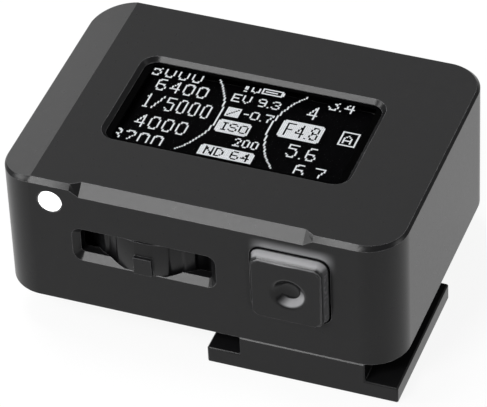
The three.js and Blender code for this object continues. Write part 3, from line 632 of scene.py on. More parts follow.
def drawn_out(bm, face):
    """Draws a face out into a new ring and gives back its copy; a face inside the body goes."""
    inside = any(len(edge.link_faces) > 1 for edge in face.edges)
    made = bmesh.ops.extrude_face_region(bm, geom=[face])
    if inside and face.is_valid:
        bmesh.ops.delete(bm, geom=[face], context="FACES_ONLY")
    return next(item for item in made["geom"] if isinstance(item, bmesh.types.BMFace))


def opening_tool(name, centre, half_width, half_height, radius, axis, levels):
    """A cutter for an opening: its outline at the first level, then at each level spread outwards."""
    first, second = [i for i in range(3) if i != axis]
    bm = bmesh.new()
    turn = Matrix.Rotation(math.radians(90 if axis < 2 else 0), 4, "YXZ"[axis])
    bmesh.ops.create_grid(bm, x_segments=1, y_segments=1, size=0.5, matrix=turn)
    for vert in bm.verts:
        spot = centre.copy()
        spot[first] += math.copysign(half_width, vert.co[first])
        spot[second] += math.copysign(half_height, vert.co[second])
        spot[axis] = levels[0][0]
        vert.co = spot
    round_off(bm, bm.verts[:], radius, 10, "VERTICES")
    face = bm.faces[:][0]
    spread_before = levels[0][1]
    core = (half_width - radius, half_height - radius)
    for level, spread in levels[1:]:
        face = drawn_out(bm, face)
        for vert in face.verts:
            pull = Vector((0, 0, 0))
            for side, limit in zip((first, second), core):
                way = (vert.co - centre)[side]
                pull[side] = way - max(-limit, min(limit, way))
            vert.co += pull.normalized() * (spread - spread_before)
            vert.co[axis] = level
        spread_before = spread
    return mesh_object(name, bm)


def edge_levels(inner, face, edge, way):
    """An opening's levels from inside the wall to outside it, with a chamfer at the face; way is 1 or -1."""
    return [(inner, 0), (face - way * edge, 0), (face, edge), (face + way * OUT, edge)]


def flare_levels(sizes):
    """The button hole's levels: the wall dips softly towards the hole, ever steeper."""
    front = CORNER.y
    levels = [(front + sizes.wall + OUT, 0)]
    for step in range(FLARE_STEPS):
        share = step / FLARE_STEPS
        depth = sizes.flare_depth * (1 - share) ** FLARE_POWER
        levels.append((front + depth, sizes.flare_width * share))
    return levels + [(front - 0.01 * MM, sizes.flare_width), (front - OUT, sizes.flare_width)]


def housing_tools(sizes):
    left, front, _ = CORNER
    rear, top = FAR_CORNER.yz
    inner = front + sizes.wall + OUT
    middle = (CORNER + FAR_CORNER) / 2
    lip = sizes.slot_edge
    window = opening_tool("window", middle, *WINDOW, 2, edge_levels(CEILING - OUT, top, sizes.window_bevel, 1))
    half_x, half_y, corner = POCKET
    low = Vector((middle.x - half_x, middle.y - half_y, CEILING - OUT))
    high = Vector((middle.x + half_x, middle.y + half_y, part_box("window_lens")[1].z))
    pocket = mesh_object("pocket", rounded_block(low, high, 2, corner, 8))
    slot = opening_tool("slot", at(14.6, 0, 7.27), *(size - lip for size in SLOT), 1,
                        edge_levels(inner, front, lip, -1))
    room = rod("wheel_room", centre_of("jog_pin"), 2, bpy.context.scene.meter_controls.wheel_radius + 0.06 * MM,
               RIM_LOW - 0.04 * MM, RIM_HIGH + 0.03 * MM, 120)
    hole = opening_tool("button_hole", BUTTON_CENTRE, BUTTON_HOLE, BUTTON_HOLE, HOLE_CORNER, 1, flare_levels(sizes))

    led = at(5.6, 0, 11.74)
    led_seat = rod("led_seat", led, 1, LED_SEAT, front - OUT, front + LED_DEPTH)
    led_bore = rod("led_bore", led, 1, LED_BORE, front, inner, 24)

    low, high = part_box("usb_shell")
    half_y, half_z = (high.y - low.y) / 2 + PORT_GAP, (high.z - low.z) / 2 + PORT_GAP
    port = opening_tool("port", centre_of("usb_shell"), half_y, half_z, half_z * 0.97, 0,
                        edge_levels(left + sizes.wall + OUT, left, PORT_EDGE, -1))

    sensor = centre_of("sensor_window")
    seat = rod("sensor_seat", sensor, 1, SENSOR_SEAT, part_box("sensor_window")[0].y, rear + OUT, 64)
    rim = rod("sensor_rim", sensor, 1, SENSOR_SEAT, rear - SENSOR_EDGE, rear + 0.001 * MM, 64,
              SENSOR_SEAT + SENSOR_EDGE)
    bore = rod("sensor_bore", sensor, 1, SENSOR_BORE, rear - sizes.wall - OUT, rear, 32)
    return [window, pocket, slot, room, hole, led_seat, led_bore, port, seat, rim, bore]


def cavity_tool(sizes):
    """The hollow inside the housing, with the screw bosses standing in it."""
    low = CORNER + Vector((sizes.wall, sizes.wall, -OUT))
    high = Vector((FAR_CORNER.x - sizes.wall, FAR_CORNER.y - sizes.wall, CEILING))
    cavity = mesh_object("cavity", rounded_block(low, high, 2, sizes.corner - sizes.wall, 12))
    over, cover, board = CEILING + MM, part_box("base_cover")[1].z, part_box("main_board")[1].z
    bosses = []
    for number, boss_top in enumerate((over, CORNER.z + 5 * MM, over, over), 1):
        bosses.append(rod(f"boss_{number}", centre_of(f"cover_screw_{number}"), 2, COVER_BOSS, cover, boss_top, 32))
    for number in range(1, 4):
        bosses.append(rod(f"board_boss_{number}", centre_of(f"board_screw_{number}"), 2, BOARD_BOSS, board, over, 24))
    return combine(cavity, bosses)


def screw_hole_tools():
    holes = []
    for kind, count, under in (("cover_screw", 4, None), ("board_screw", 3, "main_board")):
        for number in range(1, count + 1):
            node = f"{kind}_{number}"
            start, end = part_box(under or node)[0].z - 0.2 * MM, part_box(node)[1].z + 0.4 * MM
            holes.append(rod(f"{node}_hole", centre_of(node), 2, SCREW_BORE, start, end, 16))
    return holes


class METER_OT_housing(bpy.types.Operator):
    """Build the machined housing"""

    bl_idname = "meter.housing"
    bl_label = "Housing"

    def execute(self, context):
        sizes = context.scene.meter_housing
        piece = housing_blank(sizes)
        soften(piece, 0.05 * MM, angle=25, smooth=60)
        combine(piece, [wide_edge_tool(sizes)])
        combine(piece, [cavity_tool(sizes)])
        combine(piece, housing_tools(sizes) + screw_hole_tools())
        soften(piece, 0)
        # The housing's finish carries a painted reflection on the wall over the button
        wear_finish(piece, anodised_metal(painted_highlight_mask=painted_reflection_over_button), "anodised", "body", "body_shell")
        return {"FINISHED"}


FOOT_PLATE = 1.8 * MM
FOOT_STEM = 6.1 * MM
FOOT_EDGE = 0.13 * MM
# Its countersinks: radius below and above, and depth
SINK_LOW, SINK_HIGH, SINK_DEPTH = 1.75 * MM, 0.85 * MM, 0.8 * MM


def foot_edges(bm, low, high):
    """The foot's edges that get a bevel: all but those in the stem's corners and against the housing."""
    middle = (low.x + high.x) / 2
    for edge in bm.edges:
        ends = [vert.co for vert in edge.verts]
        in_front = all(abs(end.y - low.y) < NEAR for end in ends)
        on_top = all(abs(end.z - high.z) < NEAR for end in ends)
        in_corner = all(abs(end.z - low.z - FOOT_PLATE) < NEAR and abs(abs(end.x - middle) - FOOT_STEM) < NEAR
                        for end in ends)
        if not in_corner and (in_front or not on_top):
            yield edge


class METER_OT_foot(bpy.types.Operator):
    """Build the shoe foot"""

    bl_idname = "meter.foot"
    bl_label = "Shoe foot"

    def execute(self, context):
        low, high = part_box("shoe_foot")
        middle = (low.x + high.x) / 2
        level = low.z + FOOT_PLATE
        bm = bmesh.new()
        outline = [(low.x, low.z), (high.x, low.z), (high.x, level), (middle + FOOT_STEM, level),
                   (middle + FOOT_STEM, high.z), (middle - FOOT_STEM, high.z), (middle - FOOT_STEM, level),
                   (low.x, level)]
        face = bm.faces.new([bm.verts.new((x, low.y, z)) for x, z in outline])
        lengthened(bm, [face], (0, high.y - low.y, 0))
        bmesh.ops.recalc_face_normals(bm, faces=bm.faces[:])
        round_off(bm, list(foot_edges(bm, low, high)), FOOT_EDGE, 1)
        tools = []
        for number in range(1, 5):
            centre = centre_of(f"foot_screw_{number}")
            tools.append(rod(f"sink_{number}", centre, 2, SINK_LOW, low.z - 0.1 * MM, low.z + SINK_DEPTH, 32,
                             SINK_HIGH))
            tools.append(rod(f"drill_{number}", centre, 2, FOOT_SCREW_BORE, low.z, high.z + OUT, 24))
        piece = combine(mesh_object("foot", bm), tools)
        soften(piece, 0.03 * MM)
        wear_finish(piece, anodised_metal("anodised_foot"), "anodised", "body", "shoe_foot")
        return {"FINISHED"}


NIB_LOW = at(0, 0, 5.6).z
NIB_HIGH = at(0, 0, 7.5).z
NIB_FRONT = at(0, -0.5, 0).y
# The grooves' pattern sits a little to the left of the nib, in degrees
PAD_TURN = 1.75
# The grooves beside the pad: first one, spacing and width in degrees; a flank is a share of half a groove
GROOVE_START = 23.5
GROOVE_PITCH = 18
GROOVES_PER_SIDE = 9
GROOVE_ANGLE = 12
GROOVE_FLANK = 0.45
RIM_THICKNESS = 2.2 * MM
DISH_FLOOR = 1.3 * MM
WHEEL_BORE = 0.85 * MM


class METER_OT_wheel(bpy.types.Operator):
    """Build the grooved thumb wheel"""

    bl_idname = "meter.wheel"
    bl_label = "Thumb wheel"

    def execute(self, context):
        sizes = context.scene.meter_controls
        low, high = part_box("jog_wheel")
        hub = centre_of("jog_pin")
        radius = sizes.wheel_radius
        bm = bmesh.new()
        bmesh.ops.create_circle(bm, cap_ends=True, segments=720, radius=radius)
        for vert in bm.verts:
            vert.co *= 1 - self.groove_share(math.atan2(vert.co.y, vert.co.x)) * sizes.groove_depth / radius
        bmesh.ops.translate(bm, verts=bm.verts[:], vec=(hub.x, hub.y, RIM_LOW))
        lengthened(bm, bm.faces[:], (0, 0, RIM_HIGH - RIM_LOW))
        inner = radius - RIM_THICKNESS
        piece = combine(mesh_object("wheel", bm), [
            rod("dish", hub, 2, inner, low.z + DISH_FLOOR, high.z + OUT, 64),
            rod("under", hub, 2, inner, low.z - OUT, low.z, 64),
            rod("bore", hub, 2, WHEEL_BORE, low.z - OUT, high.z + OUT, 32)])
        half = sizes.nib_width / 2
        nib = mesh_object("nib", block(Vector((hub.x - half, NIB_FRONT, NIB_LOW)),
                                       Vector((hub.x + half, NIB_FRONT + MM, NIB_HIGH))))
        combine(piece, [nib], "UNION")
        soften(piece, 0.1 * MM, angle=40, smooth=40)
        wear_finish(piece, anodised_metal("anodised_wheel"), "anodised", "jog", "jog_wheel")
        return {"FINISHED"}

    def groove_share(self, angle):
        """0 on the rim and 1 on the floor of a groove, with rounded flanks; the nib's pad has no groove."""
        aside = abs(math.degrees(angle) + 90 + PAD_TURN)
        aside = min(aside, 360 - aside)
        number = round((aside - GROOVE_START) / GROOVE_PITCH)
        if not 0 <= number < GROOVES_PER_SIDE:
            return 0
        offset = abs(aside - GROOVE_START - number * GROOVE_PITCH) / (GROOVE_ANGLE / 2)
        fall = min(max((1 - offset) / GROOVE_FLANK, 0), 1)
        return fall * fall * (3 - 2 * fall)


# The button's side from the wall's level to its face: share of the way, share of the draft
BUTTON_SIDE = ((0, 0), (0.2, 0.25), (0.4, 0.47), (0.6, 0.67), (0.8, 0.84), (1, 1))
BUTTON_DRAFT = 0.34 * MM
DIMPLE_CENTRE = BUTTON_CENTRE + Vector((0.2, 0, -0.05)) * MM
DIMPLE_FLOOR = 0.98 * MM
# The bowl at the bottom of the dimple: share of its radius, rise above its middle in millimetres
DIMPLE_BOWL = ((0, 0), (0.36, 0.02), (0.72, 0.09), (1, 0.2))
# The dimple's soft rim: millimetres past the rim's radius, depth in millimetres
DIMPLE_RIM = ((-0.23, 0.22), (-0.11, 0.12), (0.01, 0.05), (0.13, 0.012), (0.21, -0.002))
BUTTON_CORNER = 1 * MM
BUTTON_BEVEL = 0.13 * MM
# The fine groove behind the bevel, and how flat the corners are cut from there to the face
BUTTON_LINE = 0.05 * MM
CORNER_CUT = 0.8
# The flange behind the wall, counted from the wall's face, and the stem behind it
FLANGE_FRONT, FLANGE_BACK = 1.6 * MM, 2.2 * MM
STEM_RADIUS = 1.45 * MM


def painted_button_highlights(finish):
    """Painted highlights where light falls: the dimple's lower right wall, the button's upper and right sides and a
    line on its bevel.
    """
    x, y, z = (finish.axis(number) for number in range(3))
    sizes = bpy.context.scene.meter_controls
    rim = sizes.dimple_radius
    face_level = CORNER.y - sizes.button_rise
    aside, up = x - DIMPLE_CENTRE.x, z - DIMPLE_CENTRE.z
    reach = (aside * aside + up * up).maths("SQRT")
    # The painted highlight in the dimple is a crescent on its lower right wall
    ring = reach.within(DIMPLE_FLOOR - 0.02 * MM, DIMPLE_FLOOR + 0.02 * MM, rim, rim + 0.2 * MM)
    sunk = y.over(face_level + 0.05 * MM, face_level + 0.2 * MM)
    lower_right = (aside * 0.6 - up * 0.8).over(0.1 * MM, 1.2 * MM)
    dimple = ring * sunk * lower_right
    outside = sizes.button_size / 2 - BUTTON_DRAFT
    side = y.within(face_level + 0.2 * MM, face_level + 0.6 * MM, CORNER.y - 0.14 * MM, CORNER.y - 0.02 * MM)
    # A thin painted highlight line along the face's bevel
    line = y.within(face_level + 0.02 * MM, face_level + 0.05 * MM, face_level + 0.1 * MM, face_level + 0.13 * MM)
    side = side.maths("MAXIMUM", line * 0.5)
    upper = (z - BUTTON_CENTRE.z).over(outside - 0.5 * MM, outside)
    right = (x - BUTTON_CENTRE.x).over(outside - 0.3 * MM, outside) * 0.3
    return dimple.maths("MAXIMUM", side * upper.maths("MAXIMUM", right))


class METER_OT_button(bpy.types.Operator):
    """Build the square button with its dimple"""

    bl_idname = "meter.button"
    bl_label = "Button"

    def execute(self, context):
        sizes = context.scene.meter_controls
        low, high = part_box("button_cap")
        half = sizes.button_size / 2
        front = CORNER.y
        back = front + FLANGE_FRONT
        bm = bmesh.new()
        bmesh.ops.create_grid(bm, x_segments=1, y_segments=1, size=half,
                              matrix=Matrix.Rotation(math.radians(90), 4, "X"))
        round_off(bm, bm.verts[:], BUTTON_CORNER, 8, "VERTICES")
        outline = bm.verts.layers.float_vector.new("outline")
        for vert in bm.verts:
            vert[outline] = vert.co
            vert.co += Vector((BUTTON_CENTRE.x, back, BUTTON_CENTRE.z))
        side = sizes.button_rise - BUTTON_BEVEL - 2 * BUTTON_LINE
        levels = [(front - side * way, BUTTON_DRAFT * share, 0) for way, share in BUTTON_SIDE]
        levels += [(front - side - BUTTON_LINE, BUTTON_DRAFT + BUTTON_LINE, CORNER_CUT),
                   (front - side - 2 * BUTTON_LINE, BUTTON_DRAFT, CORNER_CUT),
                   (front - sizes.button_rise, BUTTON_DRAFT + BUTTON_BEVEL, CORNER_CUT)]
        face = bm.faces[:][0]
        for level, inset, flat in levels:
            face = drawn_out(bm, face)
            for vert in face.verts:
                drawn = self.drawn_in(vert[outline], half, inset, flat)
                vert.co = Vector((BUTTON_CENTRE.x + drawn.x, level, BUTTON_CENTRE.z + drawn.z))
        bm.verts.layers.float_vector.remove(outline)
        piece = combine(mesh_object("button", bm), [self.dimple(sizes)])
        flange = mesh_object("flange", rounded_block(
            Vector((low.x, back, low.z)), Vector((high.x, front + FLANGE_BACK, high.z)), 1, BUTTON_CORNER, 6))
        stem = rod("stem", centre_of("button_cap"), 1, STEM_RADIUS, front + FLANGE_BACK - 0.1 * MM, high.y, 32)
        combine(piece, [flange, stem], "UNION")
        soften(piece, 0.03 * MM, smooth=32)
        # The button's finish carries painted highlights on its dimple, sides and bevel
        wear_finish(piece, anodised_metal("anodised_button", 0.17, painted_button_highlights), "anodised", "button", "button_cap")
        return {"FINISHED"}

    def dimple(self, sizes):
        """A turned cutter: a soft rim, a sloping wall and a shallow bowl that meets it in a crisp line."""
        face_level = CORNER.y - sizes.button_rise
        profile = [(DIMPLE_FLOOR * share, face_level + sizes.dimple_depth - rise * MM) for share, rise in DIMPLE_BOWL]
        profile += [(sizes.dimple_radius + past * MM, face_level + deep * MM) for past, deep in DIMPLE_RIM]
        above = face_level - 0.3 * MM
        return turned("dimple", DIMPLE_CENTRE, 1, profile + [(profile[-1][0], above), (0, above)], 96)

    def drawn_in(self, place, half, inset, flat):
        """A point of the outline drawn in, with its round corners pressed to straight cuts by a share."""
        core = half - BUTTON_CORNER
        pull = Vector((place.x - max(-core, min(core, place.x)), 0, place.z - max(-core, min(core, place.z))))
        corner = Vector((place.x, 0, place.z)) - pull
        reach = BUTTON_CORNER - inset
        if flat and min(abs(pull.x), abs(pull.z)) > 1e-9:
            slant = Vector((math.copysign(1, place.x), 0, math.copysign(1, place.z))).normalized()
            straight = reach * math.cos(math.pi / 4) / pull.normalized().dot(slant)
            reach += (straight - reach) * flat
        return corner + pull.normalized() * reach


# Display

DOT_COLUMNS = 128
DOT_ROWS = 64
LIT_WIDTH = 21.74 * MM
LIT_DEPTH = 10.86 * MM
DOT_PITCH = LIT_WIDTH / DOT_COLUMNS
DOT_SHARE = 0.94
ARC_ROWS = 33

# The dots lie close under the pane's surface, where the pane lifts them to
READOUT_DEPTH = 0.05 * MM

# Each sign as pen strokes on a grid 4 wide and 6 high: points as pairs of digits, strokes parted by bars
STROKES = {
    "0": "10 30 41 45 36 16 05 01 10", "1": "15 26 20|10 30", "2": "05 16 36 45 44 00 40",
    "3": "05 16 36 45 44 33 23|33 42 41 30 10 01", "4": "30 36 02 42", "5": "46 06 04 34 43 41 30 10 01",
    "6": "36 16 05 01 10 30 41 42 33 03", "7": "06 46 45 22 20",
    "8": "13 04 05 16 36 45 44 33 13 02 01 10 30 41 42 33", "9": "10 30 41 45 36 16 05 04 13 43", "/": "00 46",
    ".": "20 20", "-": "03 43", "E": "46 06 00 40|03 33", "V": "06 02 20 42 46", "F": "46 06 00|03 33",
    "I": "16 36|26 20|10 30", "S": "45 36 16 05 04 13 33 42 41 30 10 01", "O": "10 30 41 45 36 16 05 01 10",
    "N": "00 06 40 46", "D": "00 06 26 44 42 20 00", "A": "00 04 26 44 40|02 42",
}

# Signs that are narrower than the others, as a share of their width
NARROW = {"1": 0.6, ".": 0.2, " ": 0.4, "-": 0.6, "I": 0.6}

# Words: text, centre column, centre row, width and height of a sign in dots, and the dots between signs
WORDS = (
    ("8000", 13.5, 62, 6, 10, 2), ("6400", 21, 49.5, 6, 10, 2), ("1/5000", 24, 34.5, 5, 12, 2),
    ("4000", 20.5, 17.5, 6, 11, 2), ("3200", 11.5, 2.5, 6, 10, 2),
    ("EV 9.3", 63.5, 51.5, 5, 7, 1), ("-0.7", 69, 39.5, 5, 7, 1), ("200", 70.5, 15.5, 4, 7, 1),
    ("3.4", 110, 62, 6, 10, 1), ("4", 96.5, 51, 6, 11, 1), ("5.6", 102.5, 17.5, 6, 11, 2),
    ("6.7", 111.5, 2.5, 6, 10, 2), ("A", 122.5, 35.5, 5, 7, 1),
)

# Words in dark on a lit bar, with the bar's width and height
BARS = (("F4.8", 96, 34.5, 5, 11, 1, 24, 15), ("ISO", 60, 26.5, 5, 7, 1, 19, 11), ("ND 64", 64, 4, 5, 7, 1, 31, 11))

# Arcs: centre column and row, radius, and the side they bulge to, 1 or -1
ARCS = ((0.5, 33, 48.3, 1), (126.5, 32.5, 48, -1))


def stroke_dots(start, end):
    steps = max(1, math.ceil(max(abs(end[0] - start[0]), abs(end[1] - start[1]))))
    for step in range(steps + 1):
        share = step / steps
        yield (math.floor(start[0] + (end[0] - start[0]) * share + 0.5),
               math.floor(start[1] + (end[1] - start[1]) * share + 0.5))


def word_dots(text, column, row, width, height, between):
    """The dots of a word, centred on a column and a row."""
    dots = set()
    widths = [max(1, round(width * NARROW.get(sign, 1))) for sign in text]
    left = math.floor(column - (sum(widths) + between * (len(text) - 1)) / 2 + 0.5)
    bottom = math.floor(row - height / 2 + 0.5)
    for sign, wide in zip(text, widths):
        for stroke in STROKES.get(sign, "").split("|"):
            points = [pen_place(x, y, wide, width, height) for x, y in stroke.split()]
            for start, end in zip(points, points[1:]):
                dots.update((left + x, bottom + y) for x, y in stroke_dots(start, end))
        left += wide + between
    return dots


def pen_place(x, y, wide, width, height):
    """A stroke's point in dots from the sign's lower left corner."""
    column = int(x) * (width - 1) / 4 - (width - wide) / 2
    return max(0, min(wide - 1, column)), int(y) * (height - 1) / 6


def filled(left, bottom, width, height):
    return {(x, y) for x in range(left, left + width) for y in range(bottom, bottom + height)}


def frame_dots(left, bottom, width, height):
    corners = [(left, bottom), (left + width, bottom), (left + width, bottom + height), (left, bottom + height)]
    dots = set()
    for start, end in zip(corners, corners[1:] + corners[:1]):
        dots.update(stroke_dots(start, end))
    return dots


def arc_dots(column, row, radius, side):
    """One dot in each row of an arc."""
    dots = set()
    for step in range(-ARC_ROWS, ARC_ROWS + 1):
        reach = math.sqrt(radius ** 2 - step ** 2)
        dots.add((math.floor(column + side * reach), math.floor(row + step)))
    return dots


def readout_dots():
    lit = set().union(*(arc_dots(*arc) for arc in ARCS), *(word_dots(*word) for word in WORDS))
    lit |= frame_dots(118, 30, 9, 11)
    for *word, wide, high in BARS:
        column, row = word[1:3]
        left, bottom = round(column - wide / 2), round(row - high / 2)
        corners = {(x, y) for x in (left, left + wide - 1) for y in (bottom, bottom + high - 1)}
        lit = (lit | filled(left, bottom, wide, high)) - corners - word_dots(*word)
    # The sign for compensation, the battery and the two small marks beside it
    lit |= filled(51, 35, 8, 8) - word_dots("/", 55, 39, 6, 6, 0)
    lit |= frame_dots(64, 59, 11, 4) | filled(76, 60, 1, 3) | filled(66, 61, 7, 1)
    lit |= filled(54, 60, 2, 3) | filled(54, 58, 2, 1) | word_dots("V", 60, 60.5, 5, 5, 0)
    return {(x, y) for x, y in lit if 0 <= x < DOT_COLUMNS and 0 <= y < DOT_ROWS}


class METER_OT_display(bpy.types.Operator):
    """Build the lit dots of the display"""

    bl_idname = "meter.display"
    bl_label = "Display"

    def execute(self, context):
        centre = centre_of("oled_panel")
        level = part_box("window_lens")[1].z - READOUT_DEPTH
        start = Vector((centre.x - LIT_WIDTH / 2, centre.y - LIT_DEPTH / 2, level))
        bm = bmesh.new()
        half = DOT_PITCH * DOT_SHARE / 2
        for column, row in sorted(readout_dots()):
            spot = start + Vector((column + 0.5, row + 0.5, 0)) * DOT_PITCH
            bmesh.ops.create_grid(bm, x_segments=1, y_segments=1, size=half, matrix=Matrix.Translation(spot))
        piece = mesh_object("readout", bm)
        wear_finish(piece, lit_dots(), "panel")
        return {"FINISHED"}


# Screws, cover, port and window of the metering cell


# Screws of the cover and the foot: radius of head and shank, and half the recess's width
SCREWS = {"cover": (1.1 * MM, 0.55 * MM, 0.62 * MM), "foot": (1.55 * MM, 0.8 * MM, 0.9 * MM)}

# The cover's seats for its screws: radius and depth of the rim, and of the bore under the cone
SEAT_RIM, SEAT_BORE = (1.2 * MM, 0.12 * MM), (0.6 * MM, 0.7 * MM)
COVER_INSET = 1.6 * MM


def turned_screw(name, node, head, shank, recess):
    """A countersunk screw, head down, with a cross recess."""
    low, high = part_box(node)
    centre = centre_of(node)
    profile = [(0, low.z), (head - 0.05 * MM, low.z), (head, low.z + 0.05 * MM), (head, low.z + 0.12 * MM),
               (shank, low.z + shank), (shank, high.z - shank / 2), (shank / 2, high.z), (0, high.z)]
    blades = []
    for turn in (45, 135):
        half = Vector((recess, recess * 0.17, recess * 0.62))
        bm = block(-half, half)
        bmesh.ops.rotate(bm, verts=bm.verts[:], cent=(0, 0, 0), matrix=Matrix.Rotation(math.radians(turn), 3, "Z"))
        bmesh.ops.translate(bm, verts=bm.verts[:], vec=(centre.x, centre.y, low.z))
        blades.append(mesh_object(f"blade_{turn}", bm))
    return soften(combine(turned(name, centre, 2, profile, 48), blades), 0.025 * MM, segments=1)


def frame_slot(node):
    """The material slot that the record gives a node."""
    return next(row["material_slot"] for row in frame["record"]["subparts"] if row["node"] == node)


class METER_OT_screws(bpy.types.Operator):
    """Build the countersunk screws of the cover and the foot"""

    bl_idname = "meter.screws"
    bl_label = "Screws"

    def execute(self, context):
        steel = machined_metal("screw_steel", (0.055, 0.055, 0.058), 0.3)
        for number in range(1, 5):
            for place, sizes in SCREWS.items():
                node = f"{place}_screw_{number}"
                piece = turned_screw(f"{place}_cross_screw_{number}", node, *sizes)
                wear_finish(piece, steel, frame_slot(node), "body", node)
        return {"FINISHED"}


class METER_OT_cover(bpy.types.Operator):
    """Build the cover of the underside"""

    bl_idname = "meter.cover"
    bl_label = "Cover"

    def execute(self, context):
        low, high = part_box("base_cover")
        corner = context.scene.meter_housing.corner - COVER_INSET
        piece = soften(mesh_object("cover", rounded_block(low, high, 2, corner, 12)), 0.12 * MM)
        start, end = low.z - OUT, high.z + OUT
        (wide, rim), (narrow, cone) = SEAT_RIM, SEAT_BORE
        seat = [(0, start), (wide, start), (wide, low.z + rim), (narrow, low.z + cone), (narrow, end), (0, end)]
        tools = []
        for number in range(1, 5):
            tools.append(turned(f"sink_{number}", centre_of(f"cover_screw_{number}"), 2, seat, 32))
            tools.append(rod(f"pass_{number}", centre_of(f"foot_screw_{number}"), 2, FOOT_SCREW_BORE, start, end, 24))
        soften(combine(piece, tools), 0)
        wear_finish(piece, anodised_metal("anodised_cover", 0.34), "anodised", "body", "base_cover")
        return {"FINISHED"}


PORT_CONTACTS = 8
CONTACT_PLACE, CONTACT_LENGTH, CONTACT_HEIGHT = 1.6 * MM, 2.4 * MM, 0.04 * MM


class METER_OT_port(bpy.types.Operator):
    """Build the charging inlet's contacts"""

    bl_idname = "meter.port"
    bl_label = "Charging inlet"

    def execute(self, context):
        gold = machined_metal("contact_gold", (0.78, 0.55, 0.22), 0.22, (12, 1, 1))
        low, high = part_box("usb_tongue")
        pitch = (high.y - low.y) / (PORT_CONTACTS + 1)
        bm = bmesh.new()
        for number in range(PORT_CONTACTS):
            y = low.y + pitch * (number + 1)
            for level, out in ((high.z, 1), (low.z, -1)):
                matrix = Matrix.Translation((low.x + CONTACT_PLACE, y, level + out * 0.01 * MM))
                size = Matrix.Diagonal((CONTACT_LENGTH, pitch * 0.5, CONTACT_HEIGHT, 1))
                bmesh.ops.create_cube(bm, size=1, matrix=matrix @ size)
        round_off(bm, bm.edges[:], 0.008 * MM, 1)
        wear_finish(mesh_object("port_contacts", bm), gold, "steel")
        return {"FINISHED"}


# Where the window's dome starts, as a share of its depth, and the steps of the dome
DOME_START = 0.4
DOME_STEPS = 8


class METER_OT_cell(bpy.types.Operator):
    """Build the domed window of the metering cell"""

    bl_idname = "meter.cell"
    bl_label = "Metering window"

    def execute(self, context):
        low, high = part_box("sensor_window")
        radius = (high.x - low.x) / 2
        depth = high.y - low.y
        profile = [(0, low.y), (radius, low.y), (radius, low.y + depth * DOME_START)]
        for step in range(1, DOME_STEPS):
            turn = math.radians(90) * step / DOME_STEPS
            rise = DOME_START + (1 - DOME_START) * math.sin(turn)
            profile.append((radius * math.cos(turn), low.y + depth * rise))
        piece = turned("cell_window", centre_of("sensor_window"), 1, profile + [(0, high.y)], 64)
        soften(piece, 0, smooth=40)
        wear_finish(piece, frosted_window(), "frosted", "body", "sensor_window")
        return {"FINISHED"}


# Finishes of the carried-over solids


class METER_OT_inner(bpy.types.Operator):
    """Give each carried-over solid its finish"""

    bl_idname = "meter.inner"
    bl_label = "Inner pieces"

    def execute(self, context):
        finishes = {
            "window_lens": smoked_pane(),
            "oled_panel": mottled("dark_panel", (400, 2), ((0.0005, 0.0005, 0.0006), (0.0016, 0.0016, 0.002)),
                                  (0.3, 0.1), Specular_IOR_Level=0.01),
            "led_lens": glowing_lens(),
            "status_led": glowing_lens(),
            "battery_cell": mottled("foil_pouch", (220, 5, 0.55), ((0.4, 0.42, 0.45), (0.58, 0.6, 0.63)),
                                    (0.3, 0.2), (0.08 * MM, 0.5), Metallic=0.7),
            "panel_flex": moulded_plastic("amber_film", (0.43, 0.14, 0.01), 0.3),
            "battery_lead_red": moulded_plastic("red_lead", (0.38, 0.01, 0.01), 0.5),
            "battery_lead_black": moulded_plastic("black_lead", (0.01, 0.01, 0.01), 0.5),
            "battery_socket": moulded_plastic("white_plastic", (0.85, 0.85, 0.83), 0.3),
        }
        by_slot = {
            "steel": machined_metal("satin_steel", (0.52, 0.52, 0.53), 0.28),
            "dark_steel": machined_metal("dark_steel", (0.05, 0.05, 0.052), 0.35),
            "black_plastic": moulded_plastic("black_plastic", (0.014, 0.014, 0.015)),
            "circuit_board": circuit_board(),
            "foam": foam(),
        }
        for row in frame["record"]["subparts"]:
            finish = finishes.get(row["node"]) or by_slot.get(row["material_slot"])
            if finish:
                materials = frame["nodes"][row["node"]].data.materials
                materials.clear()
                materials.append(finish)
        return {"FINISHED"}


# Stage

LAMP_DISTANCE = 0.6
LAMP_AIM = at(19.5, 14, 7)
WORLD_LIGHT = 0.28
FLOOR_HALF = 1.5
FLOOR_GAP = 0.02 * MM
# How much of the floor's own colour gives way to plain white where it is seen
FLOOR_WHITE = 0.9

# Softboxes: name, direction from the meter, width, depth and brightness
LAMPS = (
    ("front_softbox", (-0.31, -0.66, 0.69), 0.22, 0.20, 16.5),
    ("top_softbox", (-0.28, 0.15, 0.95), 0.17, 0.24, 14.0),
    ("back_softbox", (-0.26, 0.71, 0.65), 0.30, 0.24, 0.8),
    ("left_softbox", (-0.60, 0.66, 0.42), 0.14, 0.26, 2.8),
    ("side_fill", (-0.84, -0.30, 0.47), 0.20, 0.20, 9.0),
    ("right_fill", (0.86, 0.10, 0.46), 0.20, 0.20, 3.5),
)


def placed(name, data, place, turn):
    """Puts a lamp or a camera into the scene."""
    item = bpy.data.objects.new(name, data)
    item.location = place
    item.rotation_mode = "QUATERNION"
    item.rotation_quaternion = turn
    bpy.context.scene.collection.objects.link(item)
    return item


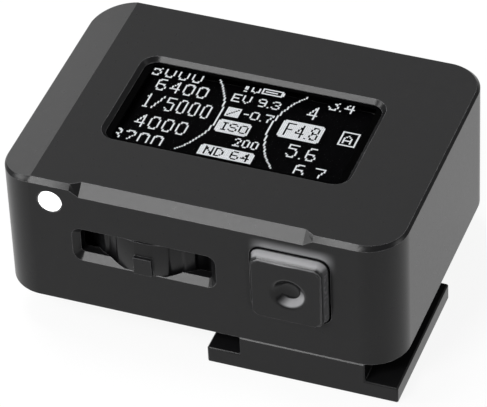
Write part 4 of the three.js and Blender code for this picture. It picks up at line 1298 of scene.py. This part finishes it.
class METER_OT_stage(bpy.types.Operator):
    """Set the floor, the lights and the camera"""

    bl_idname = "meter.stage"
    bl_label = "Stage"

    def execute(self, context):
        self.camera(context)
        self.floor()
        self.world(context)
        self.lamps()
        context.scene.view_settings.view_transform = "Standard"
        return {"FINISHED"}

    def camera(self, context):
        data = bpy.data.cameras.new("camera")
        data.sensor_width = SENSOR_WIDTH
        data.lens = FOCAL_PIXELS * SENSOR_WIDTH / IMAGE_WIDTH
        data.clip_start = 0.01
        data.clip_end = 10
        context.scene.camera = placed("camera", data, CAMERA_PLACE, CAMERA_TURN)

    def floor(self):
        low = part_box("shoe_foot")[0].z - FLOOR_GAP
        bm = bmesh.new()
        bmesh.ops.create_grid(bm, x_segments=1, y_segments=1, size=FLOOR_HALF, matrix=Matrix.Translation((0, 0, low)))
        floor = mesh_object("floor", bm)
        finish = Finish("pale_floor")
        diffuse = finish.add("ShaderNodeBsdfDiffuse", None, {"Color": chosen("floor")})
        white = finish.add("ShaderNodeEmission", None, {"Color": (1.0, 1.0, 1.0), "Strength": 1.0})
        seen = finish.add("ShaderNodeLightPath", out="Is Camera Ray")
        for kind in ("Is Glossy Ray", "Is Transmission Ray"):
            seen = seen.maths("MAXIMUM", finish.add("ShaderNodeLightPath", out=kind))
        shown = finish.add("ShaderNodeMixShader", None, [seen * FLOOR_WHITE, diffuse, white])
        finish.tree.links.new(shown.socket, finish.output.inputs["Surface"])
        floor.data.materials.append(finish.material)

    def world(self, context):
        world = bpy.data.worlds.new("studio")
        world.use_nodes = True
        background = world.node_tree.nodes["Background"]
        background.inputs["Color"].default_value = (1, 1, 1, 1)
        background.inputs["Strength"].default_value = WORLD_LIGHT
        context.scene.world = world

    def lamps(self):
        for name, way, width, depth, light in LAMPS:
            data = bpy.data.lights.new(name, "AREA")
            data.shape = "RECTANGLE"
            data.size = width
            data.size_y = depth
            data.energy = light * math.pi * width * depth
            direction = Vector(way).normalized()
            placed(name, data, LAMP_AIM + direction * LAMP_DISTANCE, direction.to_track_quat("Z", "Y"))


class METER_PT_panel(bpy.types.Panel):
    """The light meter's pieces"""

    bl_idname = "METER_PT_panel"
    bl_label = "Light meter"
    bl_space_type = "VIEW_3D"
    bl_region_type = "UI"
    bl_category = "Light meter"

    def draw(self, context):
        for operator in OPERATORS:
            self.layout.operator(operator.bl_idname)


OPERATORS = (METER_OT_housing, METER_OT_foot, METER_OT_wheel, METER_OT_button, METER_OT_display, METER_OT_screws,
             METER_OT_cover, METER_OT_port, METER_OT_cell, METER_OT_inner, METER_OT_stage)
GROUPS = {"meter_housing": HousingSizes, "meter_controls": ControlSizes, "meter_colours": MeterColours}


def register():
    for group in GROUPS.values():
        bpy.utils.register_class(group)
    for name, group in GROUPS.items():
        setattr(bpy.types.Scene, name, bpy.props.PointerProperty(type=group))
    for item in (*OPERATORS, METER_PT_panel):
        bpy.utils.register_class(item)


def unregister():
    for item in reversed((*OPERATORS, METER_PT_panel)):
        bpy.utils.unregister_class(item)
    for name in GROUPS:
        delattr(bpy.types.Scene, name)
    for group in GROUPS.values():
        bpy.utils.unregister_class(group)


def main():
    register()
    for operator in OPERATORS:
        group, name = operator.bl_idname.split(".")
        getattr(getattr(bpy.ops, group), name)()


if __name__ == "__main__":
    main()
